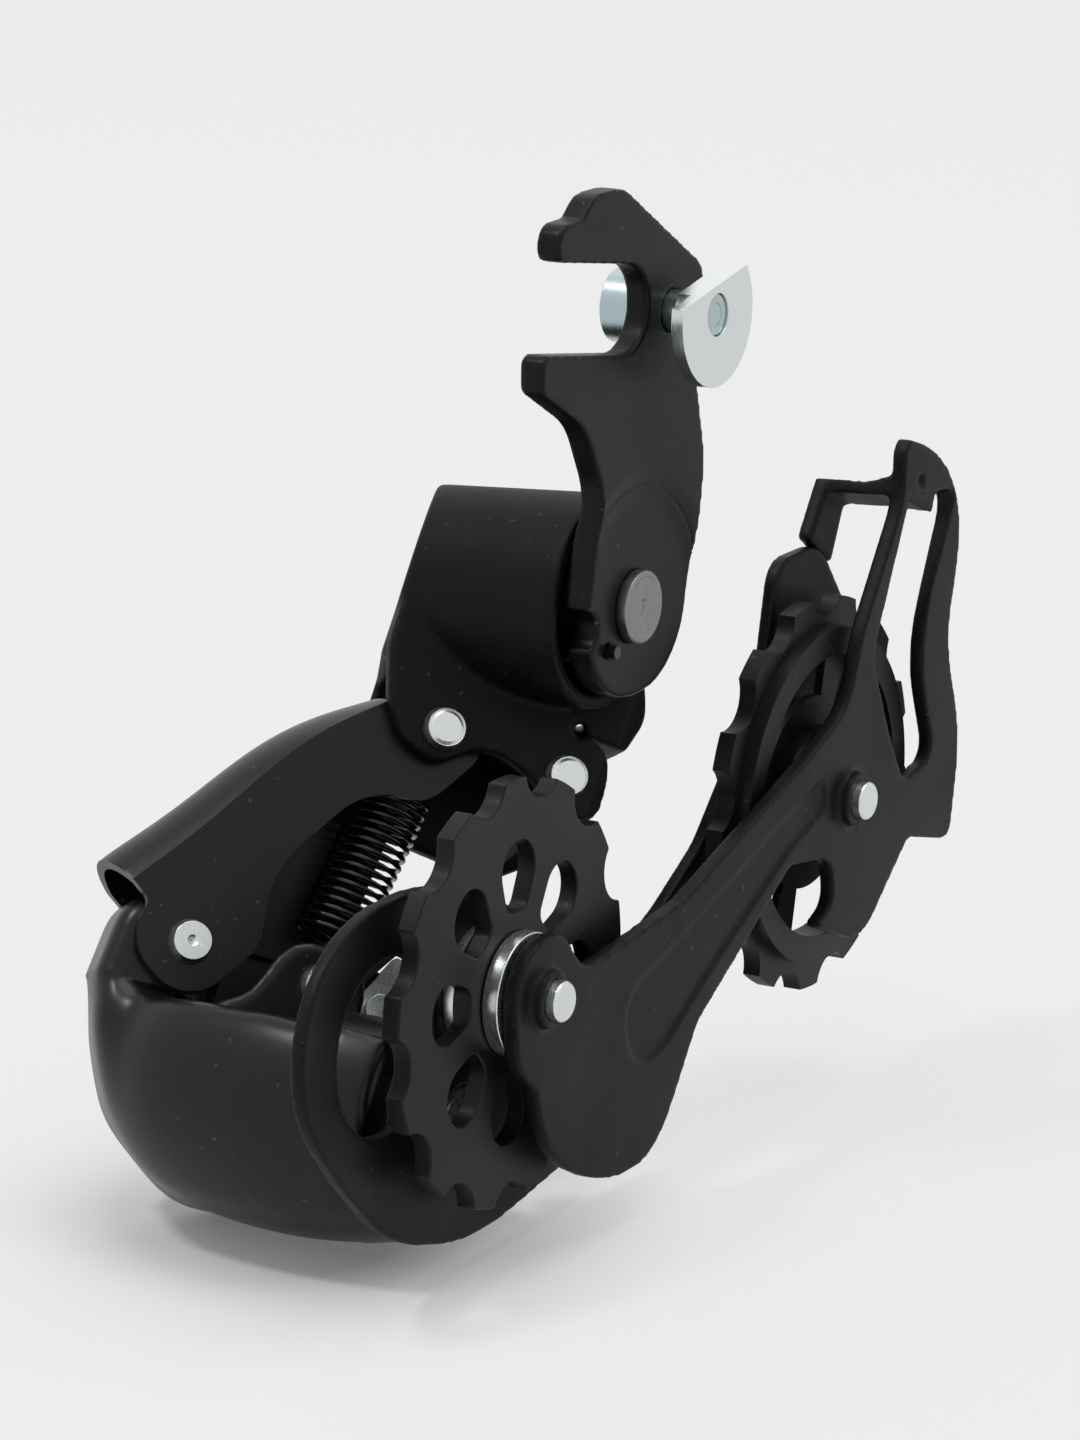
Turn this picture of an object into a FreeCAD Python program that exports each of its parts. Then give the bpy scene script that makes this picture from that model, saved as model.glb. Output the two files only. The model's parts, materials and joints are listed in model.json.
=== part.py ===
import FreeCAD, Part
import math
import os

# Rear derailleur with a claw hanger, a slant parallelogram and a long chain cage.
# Frame: +X is the way the bicycle rides, +Y points inwards to the wheel, +Z is up.
# The origin is the wheel axle's centre in the hanger slot, on the face against the dropout.
# Lengths are millimetres and angles are degrees.

os.makedirs("parts", exist_ok=True)

V = FreeCAD.Vector

# ---- hanger bracket ----
HANGER_THICKNESS = 3.2
SLOT_WIDTH = 10.5
SLOT_TILT = 9.0
JAW_REACH = 18.7
HOOK_REACH = 15.4
B_AXIS_X = -3.5
B_AXIS_Z = -36.2
HANGER_LOBE_RADIUS = 11.0
DISH_RADIUS = 14.4
DISH_DEPTH = 0.8
BOLT_HOLE_X = -10.9
BOLT_HOLE_Z = -1.8
FIXING_BOLT_RADIUS = 2.5
FIXING_HEAD_RADIUS = 4.4
FIXING_HEAD_HEIGHT = 4.2
NUT_RADIUS = 8.6
NUT_THICKNESS = 1.6
NUT_FLAT = 3.5
NUT_COLLAR = 4.8
NUT_INNER_Y = 6.2
SPRING_LEG_RADIUS = 0.8
STOP_NOTCH_RADIUS = 2.4

# ---- B pivot and knuckle ----
B_AXLE_RADIUS = 4.0
B_HEAD_RADIUS = 4.4
B_HEAD_HEIGHT = 1.5
KNUCKLE_GAP = 0.6
B_BARREL_LENGTH = 26.0
B_BARREL_INNER_RADIUS = 13.0
B_BARREL_OUTER_RADIUS = 11.4
B_WALL = 1.8
B_CUP_DEPTH = 13.0
B_SPRING_PITCH = 1.9
B_SPRING_TURNS = 4
B_SPRING_SEAT = 1.4
B_LEG_REACH = 7.4
B_LEG_ANGLE = -35.0
B_LEG_PROUD = 0.4
LEG_DEPTH = 2.2

# ---- limit screws and cable adjuster ----
LIMIT_Z = -46.6
LIMIT_HIGH_Y = -22.5
LIMIT_LOW_Y = -28.6
LIMIT_RADIUS = 2.0
LIMIT_HEAD_RADIUS = 2.9
LIMIT_HEAD_X = -16.5
LIMIT_TIP_X = -3.0
ADJUSTER_SEAT = (-18.7, -17.1, -56.0)
ADJUSTER_AIM = (-0.85, -0.5, -0.2)
ADJUSTER_THREAD_RADIUS = 2.5
ADJUSTER_KNOB_RADIUS = 4.6
ADJUSTER_GAP = 3.0
CASING_RADIUS = 2.55
CABLE_RADIUS = 0.8

# ---- parallelogram ----
PIN_NORMAL = (0.599, 0.6965, 0.3945)
KNUCKLE_LINE = (-9.2, 11.6, -6.55)
PIN_ORIGIN = (10.7, -18.6, -50.4)
PIN_SPACING = 16.0
LINK_LENGTH = 39.8
LINK_ANGLE = -120.5
FORK_PLATE = 2.5
LINK_DEPTH = 13.4
LINK_SHEET = 1.3
LINK_LOBE = 5.7
LINK_ARCH_START = 2.0
INNER_BARREL = 3.8
INNER_WEB = 1.2
DECK_DROP = 7.30716
RETURN_SPRING_WIRE = 1.05
RETURN_SPRING_RADIUS = 4.2
RETURN_SPRING_TURNS = 17
RETURN_SPRING_NECK = 7.5
RETURN_SPRING_LEVEL = -9.5
PIN_RADIUS = 2.0
PIN_HEAD_RADIUS = 2.7
PIN_HEAD_HEIGHT = 1.6

# ---- P pivot and knuckle ----
P_AXIS_REACH = (-2.42868, -16.96735)
P_DRUM_RADIUS = 16.4
P_DRUM_MOUTH_RADIUS = 14.6
P_DRUM_INNER_Y = -3.4
P_DRUM_OUTER_Y = -44.6
P_CUP_RADIUS = 8.4
P_CUP_DEPTH = 13.0
P_WALL = 1.6
P_SHOULDER_DRAFT = 2.9
P_SPRING_RADIUS = 7.0
P_SPRING_WIRE = 1.3
P_SPRING_PITCH = 1.7
P_SPRING_TURNS = 5
P_SPRING_SEAT = 1.2
P_SPRING_ANGLE = 60.0
P_AXLE_RADIUS = 4.0
P_AXLE_LENGTH = 30.0
P_FLANGE_RADIUS = 5.8

# ---- pulleys and cage ----
TEETH = 13
CHAIN_PITCH = 12.7
ROLLER_SEAT_RADIUS = 4.1
TIP_RADIUS = 24.9
GUIDE_REACH = (-2.8, 15.3)
TENSION_REACH = (-78.3, 20.6)
PULLEY_INNER_Y = 6.0
HUB_WIDTH = 3.0
TOOTH_WIDTH = 2.3
HUB_RADIUS = 8.6
CAP_RADIUS = 7.3
CAP_HEIGHT = 2.1
BUSH_RADIUS = 4.2
PULLEY_BOLT_RADIUS = 2.4
INNER_PLATE = 2.0
OUTER_PLATE = 1.8
COLLAR_RADIUS = 3.4
COLLAR_HEIGHT = 1.7
BOLT_REACH = 1.2
STOP_PIN_RADIUS = 1.8
STOP_PIN_REACH = 19.0
STOP_PIN_ANGLE = 190.0
BEAD_DEPTH = 0.45
TAB_SHEET = 1.6
TAB_HOLE_RADIUS = 0.9
RIM_RADIUS = 21.2
RIM_WALL = 3.4
RIM_RISE = 1.2
PULLEY_WEB = 1.1

# ---- clearances ----
RUNNING = 0.06
CAP_GAP = 0.1
SIDE = 0.2

LATERAL = FreeCAD.Placement(V(0, 0, 0), FreeCAD.Rotation(V(1, 0, 0), 90))


def unit(components):
    vector = V(*components)
    vector.normalize()
    return vector


def link_frame():
    """Placement of the parallelogram: third axis along the pins, origin at the upper outer pin."""
    normal = unit(PIN_NORMAL)
    line = V(*KNUCKLE_LINE)
    first = line - normal * line.dot(normal)
    first.normalize()
    second = normal.cross(first)
    matrix = FreeCAD.Matrix(
        first.x, second.x, normal.x, PIN_ORIGIN[0],
        first.y, second.y, normal.y, PIN_ORIGIN[1],
        first.z, second.z, normal.z, PIN_ORIGIN[2],
        0, 0, 0, 1,
    )
    return FreeCAD.Placement(matrix)


LINKAGE = link_frame()


def polar(x, z, radius, angle):
    return x + radius * math.cos(math.radians(angle)), z + radius * math.sin(math.radians(angle))


def placed(shape, frame):
    result = shape.copy()
    result.Placement = frame.multiply(result.Placement)
    return result


def rounded_wire(corners):
    """Closed wire through corners (a, b, radius) with a tangent arc at each rounded corner."""
    arcs = []
    for index, (a, b, radius) in enumerate(corners):
        corner = V(a, b, 0)
        before = V(*corners[index - 1][:2], 0) - corner
        after = V(*corners[(index + 1) % len(corners)][:2], 0) - corner
        before.normalize()
        after.normalize()
        half = before.getAngle(after) / 2
        reach = radius / math.tan(half)
        inward = before + after
        if radius == 0 or inward.Length < 1e-4:
            arcs.append((corner, None, corner))
            continue
        inward.normalize()
        middle = corner + inward * (radius / math.sin(half) - radius)
        arcs.append((corner + before * reach, middle, corner + after * reach))
    edges = []
    for index, (start, middle, end) in enumerate(arcs):
        if middle is not None:
            edges.append(Part.Arc(start, middle, end).toShape())
        following = arcs[(index + 1) % len(arcs)][0]
        if end.distanceToPoint(following) > 1e-4:
            edges.append(Part.makeLine(end, following))
    return Part.Wire(edges)


def prism(corners, low, high, frame):
    """Rounded outline of a frame's first two axes, solid from low to high on its third."""
    solid = Part.Face(rounded_wire(corners)).extrude(V(0, 0, high - low))
    solid.translate(V(0, 0, low))
    return placed(solid, frame)


def tapered(corners, low, high, draft, frame):
    """Rounded outline at high, moved along the first axis by draft at low."""
    moved = [(a + draft, b, radius) for a, b, radius in corners]
    wires = []
    for outline, level in ((moved, low), (corners, high)):
        wire = rounded_wire(outline)
        wire.translate(V(0, 0, level))
        wires.append(wire)
    return placed(Part.makeLoft(wires, True, True), frame)


def rod(a, b, radius, low, high, frame):
    return placed(Part.makeCylinder(radius, high - low, V(a, b, low), V(0, 0, 1)), frame)


def lateral(corners, inner_y, outer_y):
    """Plate outline in X and Z, from its inner face at inner_y out to outer_y."""
    return prism(corners, -inner_y, -outer_y, LATERAL)


def shaft(x, z, radius, inner_y, outer_y):
    return rod(x, z, radius, -inner_y, -outer_y, LATERAL)


def helix_spring(radius, wire, pitch, turns):
    """Coil of six-sided wire that stands on the third axis; both ends start at angle 0."""
    path = Part.makeHelix(pitch, pitch * turns, radius)
    corners = []
    for side in range(6):
        across, up = polar(radius, 0, wire / 2, 60 * side)
        corners.append(V(across, 0, up))
    section = Part.makePolygon(corners + [corners[0]])
    return Part.Wire(path.Edges).makePipeShell([section], True, True)


def torsion_spring(axis, coil, angle, inner_y, legs):
    """Coil round a lateral axis with a straight leg at each end, one inwards and one outwards."""
    radius, wire, pitch, turns = coil
    inward, outward = legs
    length = pitch * turns
    spring = helix_spring(radius, wire, pitch, turns)
    for low, high in ((-inward, 0.2), (length - 0.2, length + outward)):
        leg = Part.makeCylinder(wire / 2, high - low, V(radius, 0, low), V(0, 0, 1))
        spring = spring.fuse(leg)
    spring.rotate(V(0, 0, 0), V(0, 0, 1), angle)
    spring = placed(spring, LATERAL)
    spring.translate(V(axis[0], inner_y, axis[1]))
    return spring


def save(name, shape):
    shape.exportStep("parts/" + name + ".step")


# ---- link plane layout ----
NEAR_FACE = 0.0
LINK_NEAR = NEAR_FACE - FORK_PLATE - SIDE
LINK_FAR = LINK_NEAR - LINK_DEPTH
FAR_PLATE = LINK_FAR - SIDE
FAR_FACE = FAR_PLATE - FORK_PLATE
PIN_A = (0.0, 0.0)
PIN_B = (PIN_SPACING, 0.0)
LINK_STEP = polar(0, 0, LINK_LENGTH, LINK_ANGLE)
PIN_C = (PIN_A[0] + LINK_STEP[0], PIN_A[1] + LINK_STEP[1])
PIN_D = (PIN_B[0] + LINK_STEP[0], PIN_B[1] + LINK_STEP[1])
DECK = PIN_C[1] - DECK_DROP
PIN_C_PLACE = LINKAGE.multVec(V(PIN_C[0], PIN_C[1], 0))
P_AXIS_X = PIN_C_PLACE.x + P_AXIS_REACH[0]
P_AXIS_Z = PIN_C_PLACE.z + P_AXIS_REACH[1]
GUIDE_X = P_AXIS_X + GUIDE_REACH[0]
GUIDE_Z = P_AXIS_Z + GUIDE_REACH[1]
TENSION_X = P_AXIS_X + TENSION_REACH[0]
TENSION_Z = P_AXIS_Z + TENSION_REACH[1]


def about_p_axis(outline):
    """Outline given from the P axis, put in the part's own frame."""
    return [(P_AXIS_X + x, P_AXIS_Z + z, radius) for x, z, radius in outline]
ALONG = (math.cos(math.radians(LINK_ANGLE)), math.sin(math.radians(LINK_ANGLE)))
OUTWARD = (ALONG[1], -ALONG[0])


def on_link(pin, along, outward):
    """Point a distance along a link from its upper pin and a distance to its outer side."""
    return (
        pin[0] + along * ALONG[0] + outward * OUTWARD[0],
        pin[1] + along * ALONG[1] + outward * OUTWARD[1],
    )


def tilted(x, z):
    angle = math.radians(SLOT_TILT)
    return x * math.cos(angle) - z * math.sin(angle), x * math.sin(angle) + z * math.cos(angle)


def hanger_bracket():
    half = SLOT_WIDTH / 2
    jaw_top = tilted(JAW_REACH, -half)
    hook_low = tilted(HOOK_REACH + 1.4, half)
    slot_low = tilted(-half, -half)
    slot_high = tilted(-half, half)
    lobe = HANGER_LOBE_RADIUS
    outline = [
        (*jaw_top, 1.4),
        (jaw_top[0] + 0.2, jaw_top[1] - 4.4, 1.6),
        (9.5, -12.3, 8),
        (4.6, -22.0, 11),
        (B_AXIS_X + lobe, B_AXIS_Z + 2, 12),
        (B_AXIS_X + lobe, B_AXIS_Z - lobe, lobe - 0.05),
        (B_AXIS_X - lobe, B_AXIS_Z - lobe, lobe - 0.05),
        (-19.6, -21.5, 14),
        (-16.9, -9.5, 18),
        (-19.2, 2.2, 3.5),
        (0.6, 14.4, 6.5),
        (7.4, 14.4, 4),
        (10.2, 12.0, 1.2),
        (HOOK_REACH, 11.9, 2.2),
        (*hook_low, 1.4),
        (*slot_high, half - 0.01),
        (*slot_low, half - 0.01),
    ]
    plate = lateral(outline, 0, -HANGER_THICKNESS)
    dish = shaft(B_AXIS_X, B_AXIS_Z, DISH_RADIUS, 0, -DISH_DEPTH)
    boss = lateral(outline, -HANGER_THICKNESS, -HANGER_THICKNESS - DISH_DEPTH)
    boss = boss.common(shaft(B_AXIS_X, B_AXIS_Z, DISH_RADIUS, 0, -HANGER_THICKNESS * 2))
    bracket = plate.cut(dish).fuse(boss)
    bracket = bracket.cut(shaft(B_AXIS_X, B_AXIS_Z, B_AXLE_RADIUS, 1, -HANGER_THICKNESS * 2))
    bracket = bracket.cut(shaft(BOLT_HOLE_X, BOLT_HOLE_Z, FIXING_BOLT_RADIUS + RUNNING, 1, -9))
    bracket = bracket.cut(shaft(B_AXIS_X + lobe, B_AXIS_Z - 1.0, STOP_NOTCH_RADIUS, 1, -9))
    leg = polar(B_AXIS_X, B_AXIS_Z, B_LEG_REACH, B_LEG_ANGLE)
    bracket = bracket.cut(shaft(*leg, SPRING_LEG_RADIUS + RUNNING, 1, -9))
    return bracket.removeSplitter()


RETAINER_RADIUS = 6.0
RETAINER_Y = -24.0
HANGER_OUTER_Y = -HANGER_THICKNESS - DISH_DEPTH
BARREL_INNER_Y = HANGER_OUTER_Y - KNUCKLE_GAP
BARREL_OUTER_Y = BARREL_INNER_Y - B_BARREL_LENGTH


def b_axle():
    face = -DISH_DEPTH
    head = shaft(B_AXIS_X, B_AXIS_Z, B_HEAD_RADIUS, face + B_HEAD_HEIGHT, face)
    stem = shaft(B_AXIS_X, B_AXIS_Z, B_AXLE_RADIUS, face, RETAINER_Y - 2.0)
    axle = head.fuse(stem)
    rim = [edge for edge in axle.Edges if abs(edge.BoundBox.YMin - face - B_HEAD_HEIGHT) < 1e-3]
    return axle.makeChamfer(0.25, rim).removeSplitter()


def b_retainer():
    """Flat spring washer snapped on the axle's outer end, inside a counterbore."""
    washer = shaft(B_AXIS_X, B_AXIS_Z, RETAINER_RADIUS, RETAINER_Y - RUNNING, RETAINER_Y - 1.2)
    return washer.cut(shaft(B_AXIS_X, B_AXIS_Z, B_AXLE_RADIUS, 0, -60))


def b_spring():
    """Torsion spring in the knuckle's cup; its inner leg enters the hanger, its outer the cup's floor."""
    pitch, turns = B_SPRING_PITCH, B_SPRING_TURNS
    floor_y = BARREL_INNER_Y - B_CUP_DEPTH
    inner_y = floor_y + B_SPRING_SEAT + pitch * turns
    return torsion_spring(
        (B_AXIS_X, B_AXIS_Z),
        (B_LEG_REACH, 2 * SPRING_LEG_RADIUS, pitch, turns),
        B_LEG_ANGLE, inner_y, (B_LEG_PROUD - inner_y, B_SPRING_SEAT + LEG_DEPTH - SIDE),
    )


def b_knuckle():
    barrel = Part.makeCone(
        B_BARREL_OUTER_RADIUS, B_BARREL_INNER_RADIUS, B_BARREL_LENGTH,
        V(B_AXIS_X, BARREL_OUTER_Y, B_AXIS_Z), V(0, 1, 0),
    )
    face = [
        (-7.6, 1.6, 5.0),
        (-4.4, -2.8, 4.0),
        (0.6, -4.4, 3.0),
        (5.6, 0.2, 6.0),
        (11.4, -1.4, 8.0),
        (17.2, -4.6, 4.6),
        (22.8, -3.9, 4.0),
        (21.6, 4.4, 4.5),
        (14.5, 6.8, 6.0),
        (8.0, 20.0, 4.0),
        (-9.5, 24.0, 4.0),
        (-9.6, 8.0, 9.0),
    ]
    skirt = [
        (-7.6, 1.6, 5.0),
        (-4.0, -6.0, 3.0),
        (1.0, -11.0, 3.0),
        (15.0, -11.4, 4.0),
        (23.0, -4.6, 4.2),
        (21.6, 8.0, 4.5),
        (-9.6, 9.0, 6.0),
    ]
    core = [
        (-10.4, 6.3, 1.0),
        (-11.0, 26.0, 6.0),
        (-2.0, 29.0, 6.0),
        (12.0, 28.0, 8.0),
        (20.0, 20.0, 8.0),
        (25.0, 12.0, 4.0),
        (23.0, 6.3, 1.0),
    ]
    near = prism(face, NEAR_FACE - FORK_PLATE, NEAR_FACE, LINKAGE)
    middle = prism(core, FAR_FACE, NEAR_FACE - FORK_PLATE, LINKAGE)
    far = prism(skirt, FAR_FACE, FAR_PLATE, LINKAGE)
    body = barrel.fuse([near, middle, far])
    body = body.cut(outboard_wedge())
    body = body.cut(shaft(B_AXIS_X, B_AXIS_Z, B_AXLE_RADIUS + RUNNING, 5, -80))
    cup_radius = B_BARREL_INNER_RADIUS - B_WALL
    cup = shaft(B_AXIS_X, B_AXIS_Z, cup_radius, 5, BARREL_INNER_Y - B_CUP_DEPTH)
    seat = shaft(B_AXIS_X, B_AXIS_Z, RETAINER_RADIUS + SIDE, RETAINER_Y, -80)
    inboard = Part.makeBox(80, 60, 80, V(B_AXIS_X - 40, BARREL_INNER_Y, B_AXIS_Z - 40))
    leg = shaft(
        *polar(B_AXIS_X, B_AXIS_Z, B_LEG_REACH, B_LEG_ANGLE), SPRING_LEG_RADIUS,
        BARREL_INNER_Y - B_CUP_DEPTH, BARREL_INNER_Y - B_CUP_DEPTH - LEG_DEPTH,
    )
    body = body.cut([cup, seat, inboard, leg])
    frame = adjuster_frame()
    body = body.fuse(rod(0, 0, ADJUSTER_KNOB_RADIUS, -9.0, 0, frame))
    body = body.cut(rod(0, 0, ADJUSTER_KNOB_RADIUS + 2 * SIDE, 0, 20, frame))
    body = body.cut(rod(0, 0, ADJUSTER_THREAD_RADIUS + RUNNING, -8.6, 12, frame))
    body = body.cut(rod(0, 0, CABLE_RADIUS, -30, 0, frame))
    for y in (LIMIT_HIGH_Y, LIMIT_LOW_Y):
        body = body.cut(along_x(LIMIT_Z, y, LIMIT_RADIUS + RUNNING, -40, LIMIT_TIP_X + SIDE))
        body = body.cut(along_x(LIMIT_Z, y, LIMIT_HEAD_RADIUS + SIDE, -40, LIMIT_HEAD_X))
    for pin in (PIN_A, PIN_B):
        body = body.cut(rod(*pin, PIN_RADIUS, FAR_FACE - 5, 5, LINKAGE))
    return body.removeSplitter()


def outboard_wedge():
    """Space beyond the knuckle's slanted outboard face, which leans back across the links."""
    near_edge, far_edge, reach = -10.3, -5.6, 60.0
    corners = [
        V(near_edge, -reach, NEAR_FACE),
        V(far_edge, -reach, FAR_FACE),
        V(far_edge - reach, -reach, FAR_FACE),
        V(near_edge - reach, -reach, NEAR_FACE),
    ]
    lean = (far_edge - near_edge) / (FAR_FACE - NEAR_FACE)
    for corner, low in ((0, NEAR_FACE + 20), (1, FAR_FACE - 20)):
        corners[corner] = V(near_edge + lean * (low - NEAR_FACE), -reach, low)
    corners[2].z = FAR_FACE - 20
    corners[3].z = NEAR_FACE + 20
    face = Part.Face(Part.makePolygon(corners + [corners[0]]))
    return placed(face.extrude(V(0, 2 * reach, 0)), LINKAGE)


def arch_section(along, bend, crown, sheet):
    """Closed section of the outer link: flat sides, arched back, shrunk inwards by sheet."""
    near = LINK_NEAR - sheet
    far = LINK_FAR + sheet
    middle = (near + far) / 2
    foot = -16.0
    side = bend - 0.3 * sheet
    points = [
        V(*on_link(PIN_A, along, foot), near),
        V(*on_link(PIN_A, along, side), near),
        V(*on_link(PIN_A, along, crown - sheet), middle),
        V(*on_link(PIN_A, along, side), far),
        V(*on_link(PIN_A, along, foot), far),
    ]
    return Part.Wire([
        Part.makeLine(points[0], points[1]),
        Part.Arc(points[1], points[2], points[3]).toShape(),
        Part.makeLine(points[3], points[4]),
        Part.makeLine(points[4], points[0]),
    ])


LINK_STATIONS = [
    (-9.0, 6.2, 6.8),
    (2.0, 6.6, 7.8),
    (10.0, 8.7, 10.9),
    (20.0, 9.5, 12.5),
    (30.0, 9.4, 12.9),
    (48.0, 8.8, 12.0),
]


def outer_link():
    """Pressed shell: arched back, and on each side a flange that ends in a lobe on each pin."""
    outside = Part.makeLoft([arch_section(*station, 0.0) for station in LINK_STATIONS], True)
    inside = Part.makeLoft([arch_section(*station, LINK_SHEET) for station in LINK_STATIONS], True)
    lobe = LINK_LOBE
    tip = LINK_LENGTH + 0.5
    back = 20.0
    flange = [
        (-lobe, lobe, lobe - 0.2),
        (-lobe, -lobe, lobe - 0.2),
        (6.5, -lobe, 5.0),
        (11.0, 0.3, 9.0),
        (28.0, 0.3, 14.0),
        (33.0, -lobe, 5.0),
        (LINK_LENGTH + lobe, -lobe, lobe - 0.2),
        (LINK_LENGTH + lobe, lobe, lobe - 0.2),
        (tip, lobe + 0.9, 1.4),
        (tip, back, 0),
        (LINK_ARCH_START, back, 0),
        (LINK_ARCH_START, lobe, 0.8),
    ]
    outline = [(*on_link(PIN_A, along, side), radius) for along, side, radius in flange]
    shell = placed(outside.cut(inside), LINKAGE).common(prism(outline, LINK_FAR, LINK_NEAR, LINKAGE))
    wide = [
        (0, 3.0, 0),
        (0, -2.0, 0),
        (6.5, -5.2, 6.0),
        (22.6, -13.4, 3.5),
        (29.4, -9.6, 5.0),
        (34.0, -3.0, 0),
        (34.0, 3.0, 0),
    ]
    apron = [(*on_link(PIN_A, along, side), radius) for along, side, radius in wide]
    shell = shell.fuse(prism(apron, LINK_FAR, LINK_FAR + LINK_SHEET, LINKAGE))
    for pin in (PIN_A, PIN_C):
        shell = shell.cut(rod(*pin, PIN_RADIUS + RUNNING, LINK_FAR - 5, 5, LINKAGE))
    return shell.removeSplitter()


def inner_link():
    """Barrels on the inner pins joined by a thin leaning web, with an ear for the cable clamp."""
    shape = rod(*PIN_B, INNER_BARREL, LINK_FAR, LINK_NEAR, LINKAGE)
    shape = shape.fuse(rod(*PIN_D, INNER_BARREL, LINK_FAR, LINK_NEAR, LINKAGE))
    hook_gap = prism(
        [
            (PIN_D[0] - 8, PIN_D[1] - 8, 0),
            (PIN_D[0] + 1.2, PIN_D[1] - 8, 0),
            (PIN_D[0] + 1.2, PIN_D[1] + 8, 0),
            (PIN_D[0] - 8, PIN_D[1] + 8, 0),
        ],
        -11.5, -7.5, LINKAGE,
    )
    shape = shape.cut(hook_gap)
    start, end = 0.0, LINK_LENGTH
    near_side, far_side = -2.0, -3.0
    section = [
        V(*on_link(PIN_B, start, near_side), LINK_NEAR),
        V(*on_link(PIN_B, start, near_side - INNER_WEB), LINK_NEAR),
        V(*on_link(PIN_B, start, far_side - INNER_WEB), LINK_FAR),
        V(*on_link(PIN_B, start, far_side), LINK_FAR),
    ]
    web = Part.Face(Part.makePolygon(section + [section[0]]))
    web = placed(web.extrude(V(ALONG[0], ALONG[1], 0) * (end - start)), LINKAGE)
    ear = prism(
        [
            (PIN_D[0] + 1.6, PIN_D[1] - 3.4, 0),
            (PIN_D[0] + 12.2, PIN_D[1] - 2.6, 1.5),
            (PIN_D[0] + 11.4, PIN_D[1] + 5.0, 1.5),
            (PIN_D[0] + 4.6, PIN_D[1] + 5.6, 0),
        ],
        -10.4, -6.6, LINKAGE,
    )
    shape = shape.fuse([web, ear])
    for pin in (PIN_B, PIN_D):
        shape = shape.cut(rod(*pin, PIN_RADIUS + RUNNING, LINK_FAR - 5, 5, LINKAGE))
    shape = shape.cut(rod(*CLAMP_CENTRE, CLAMP_BOLT_RADIUS, -20, 5, LINKAGE))
    eye_half = RETURN_SPRING_WIRE / 2 + SIDE
    level = RETURN_SPRING_LEVEL
    eye_radius = PIN_RADIUS + RETURN_SPRING_WIRE + 2 * SIDE
    shape = shape.cut(rod(*PIN_D, eye_radius, level - eye_half, level + eye_half, LINKAGE))
    return shape.removeSplitter()


CLAMP_BOLT_RADIUS = 1.9
CLAMP_CENTRE = (PIN_D[0] + 8.6, PIN_D[1] + 0.8)


def cable_clamp_plate():
    """Folded steel washer that traps the cable against the inner link."""
    face = prism(
        [
            (PIN_D[0] + 6.0, PIN_D[1] - 3.8, 0.5),
            (PIN_D[0] + 12.4, PIN_D[1] - 2.8, 0.5),
            (PIN_D[0] + 12.0, PIN_D[1] + 3.0, 1.0),
            (PIN_D[0] + 10.4, PIN_D[1] + 7.4, 0.6),
            (PIN_D[0] + 8.6, PIN_D[1] + 7.6, 0.6),
            (PIN_D[0] + 6.2, PIN_D[1] + 2.4, 1.0),
        ],
        -6.6, -5.4, LINKAGE,
    )
    foot = prism(
        [
            (PIN_D[0] + 6.0, PIN_D[1] - 5.0, 0.3),
            (PIN_D[0] + 12.4, PIN_D[1] - 4.0, 0.3),
            (PIN_D[0] + 12.4, PIN_D[1] - 2.8, 0.3),
            (PIN_D[0] + 6.0, PIN_D[1] - 3.8, 0.3),
        ],
        -9.6, -5.4, LINKAGE,
    )
    return face.fuse(foot).cut(rod(*CLAMP_CENTRE, CLAMP_BOLT_RADIUS, -20, 5, LINKAGE)).removeSplitter()


def cable_clamp_bolt():
    stem = rod(*CLAMP_CENTRE, CLAMP_BOLT_RADIUS, -13.4, -4.4, LINKAGE)
    head = hexagon(CLAMP_CENTRE, 3.4, -13.4, -10.4, LINKAGE)
    return stem.fuse(head).removeSplitter()


def hexagon(centre, radius, low, high, frame):
    corners = [(*polar(centre[0], centre[1], radius, 60 * step), 0) for step in range(6)]
    return prism(corners, low, high, frame)


def link_pin(pin, low, high, dimple):
    """Riveted pivot pin with a chamfered head standing on its near side."""
    stem = rod(*pin, PIN_RADIUS, low, high, LINKAGE)
    head = placed(
        Part.makeCone(PIN_HEAD_RADIUS, PIN_HEAD_RADIUS - 0.45, PIN_HEAD_HEIGHT, V(*pin, high)),
        LINKAGE,
    )
    body = stem.fuse(head)
    if dimple:
        cone = Part.makeCone(0.05, 0.7, 0.6, V(*pin, high + PIN_HEAD_HEIGHT - 0.55))
        body = body.cut(placed(cone, LINKAGE))
    return body.removeSplitter()


def return_spring():
    """Extension spring along the parallelogram's diagonal, with an eye round a pin at each end."""
    start = V(*PIN_A, RETURN_SPRING_LEVEL)
    end = V(*PIN_D, RETURN_SPRING_LEVEL)
    direction = end - start
    reach = direction.Length
    direction.normalize()
    wire, radius = RETURN_SPRING_WIRE, RETURN_SPRING_RADIUS
    eye = PIN_RADIUS + wire / 2 + SIDE / 2
    low, high = RETURN_SPRING_NECK, reach - RETURN_SPRING_NECK
    pitch = (high - low) / RETURN_SPRING_TURNS
    spring = helix_spring(radius, wire, pitch, RETURN_SPRING_TURNS)
    spring.translate(V(0, 0, low))
    for pin, neck, coil_end in ((0, eye, low), (reach, reach - eye, high)):
        ring = Part.makeTorus(eye, wire / 2, V(0, 0, pin), V(0, 1, 0))
        inner, outer = sorted((neck, coil_end))
        stem = Part.makeCylinder(wire / 2, outer - inner + 0.4, V(0, 0, inner - 0.2), V(0, 0, 1))
        arm = Part.makeCylinder(wire / 2, radius + 0.2, V(-0.2, 0, coil_end), V(1, 0, 0))
        spring = spring.fuse([ring, stem, arm])
    across = V(0, 0, 1).cross(direction)
    turn = FreeCAD.Rotation(across, V(0, 0, 1), direction, "ZYX")
    return placed(placed(spring, FreeCAD.Placement(start, turn)), LINKAGE)


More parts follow.
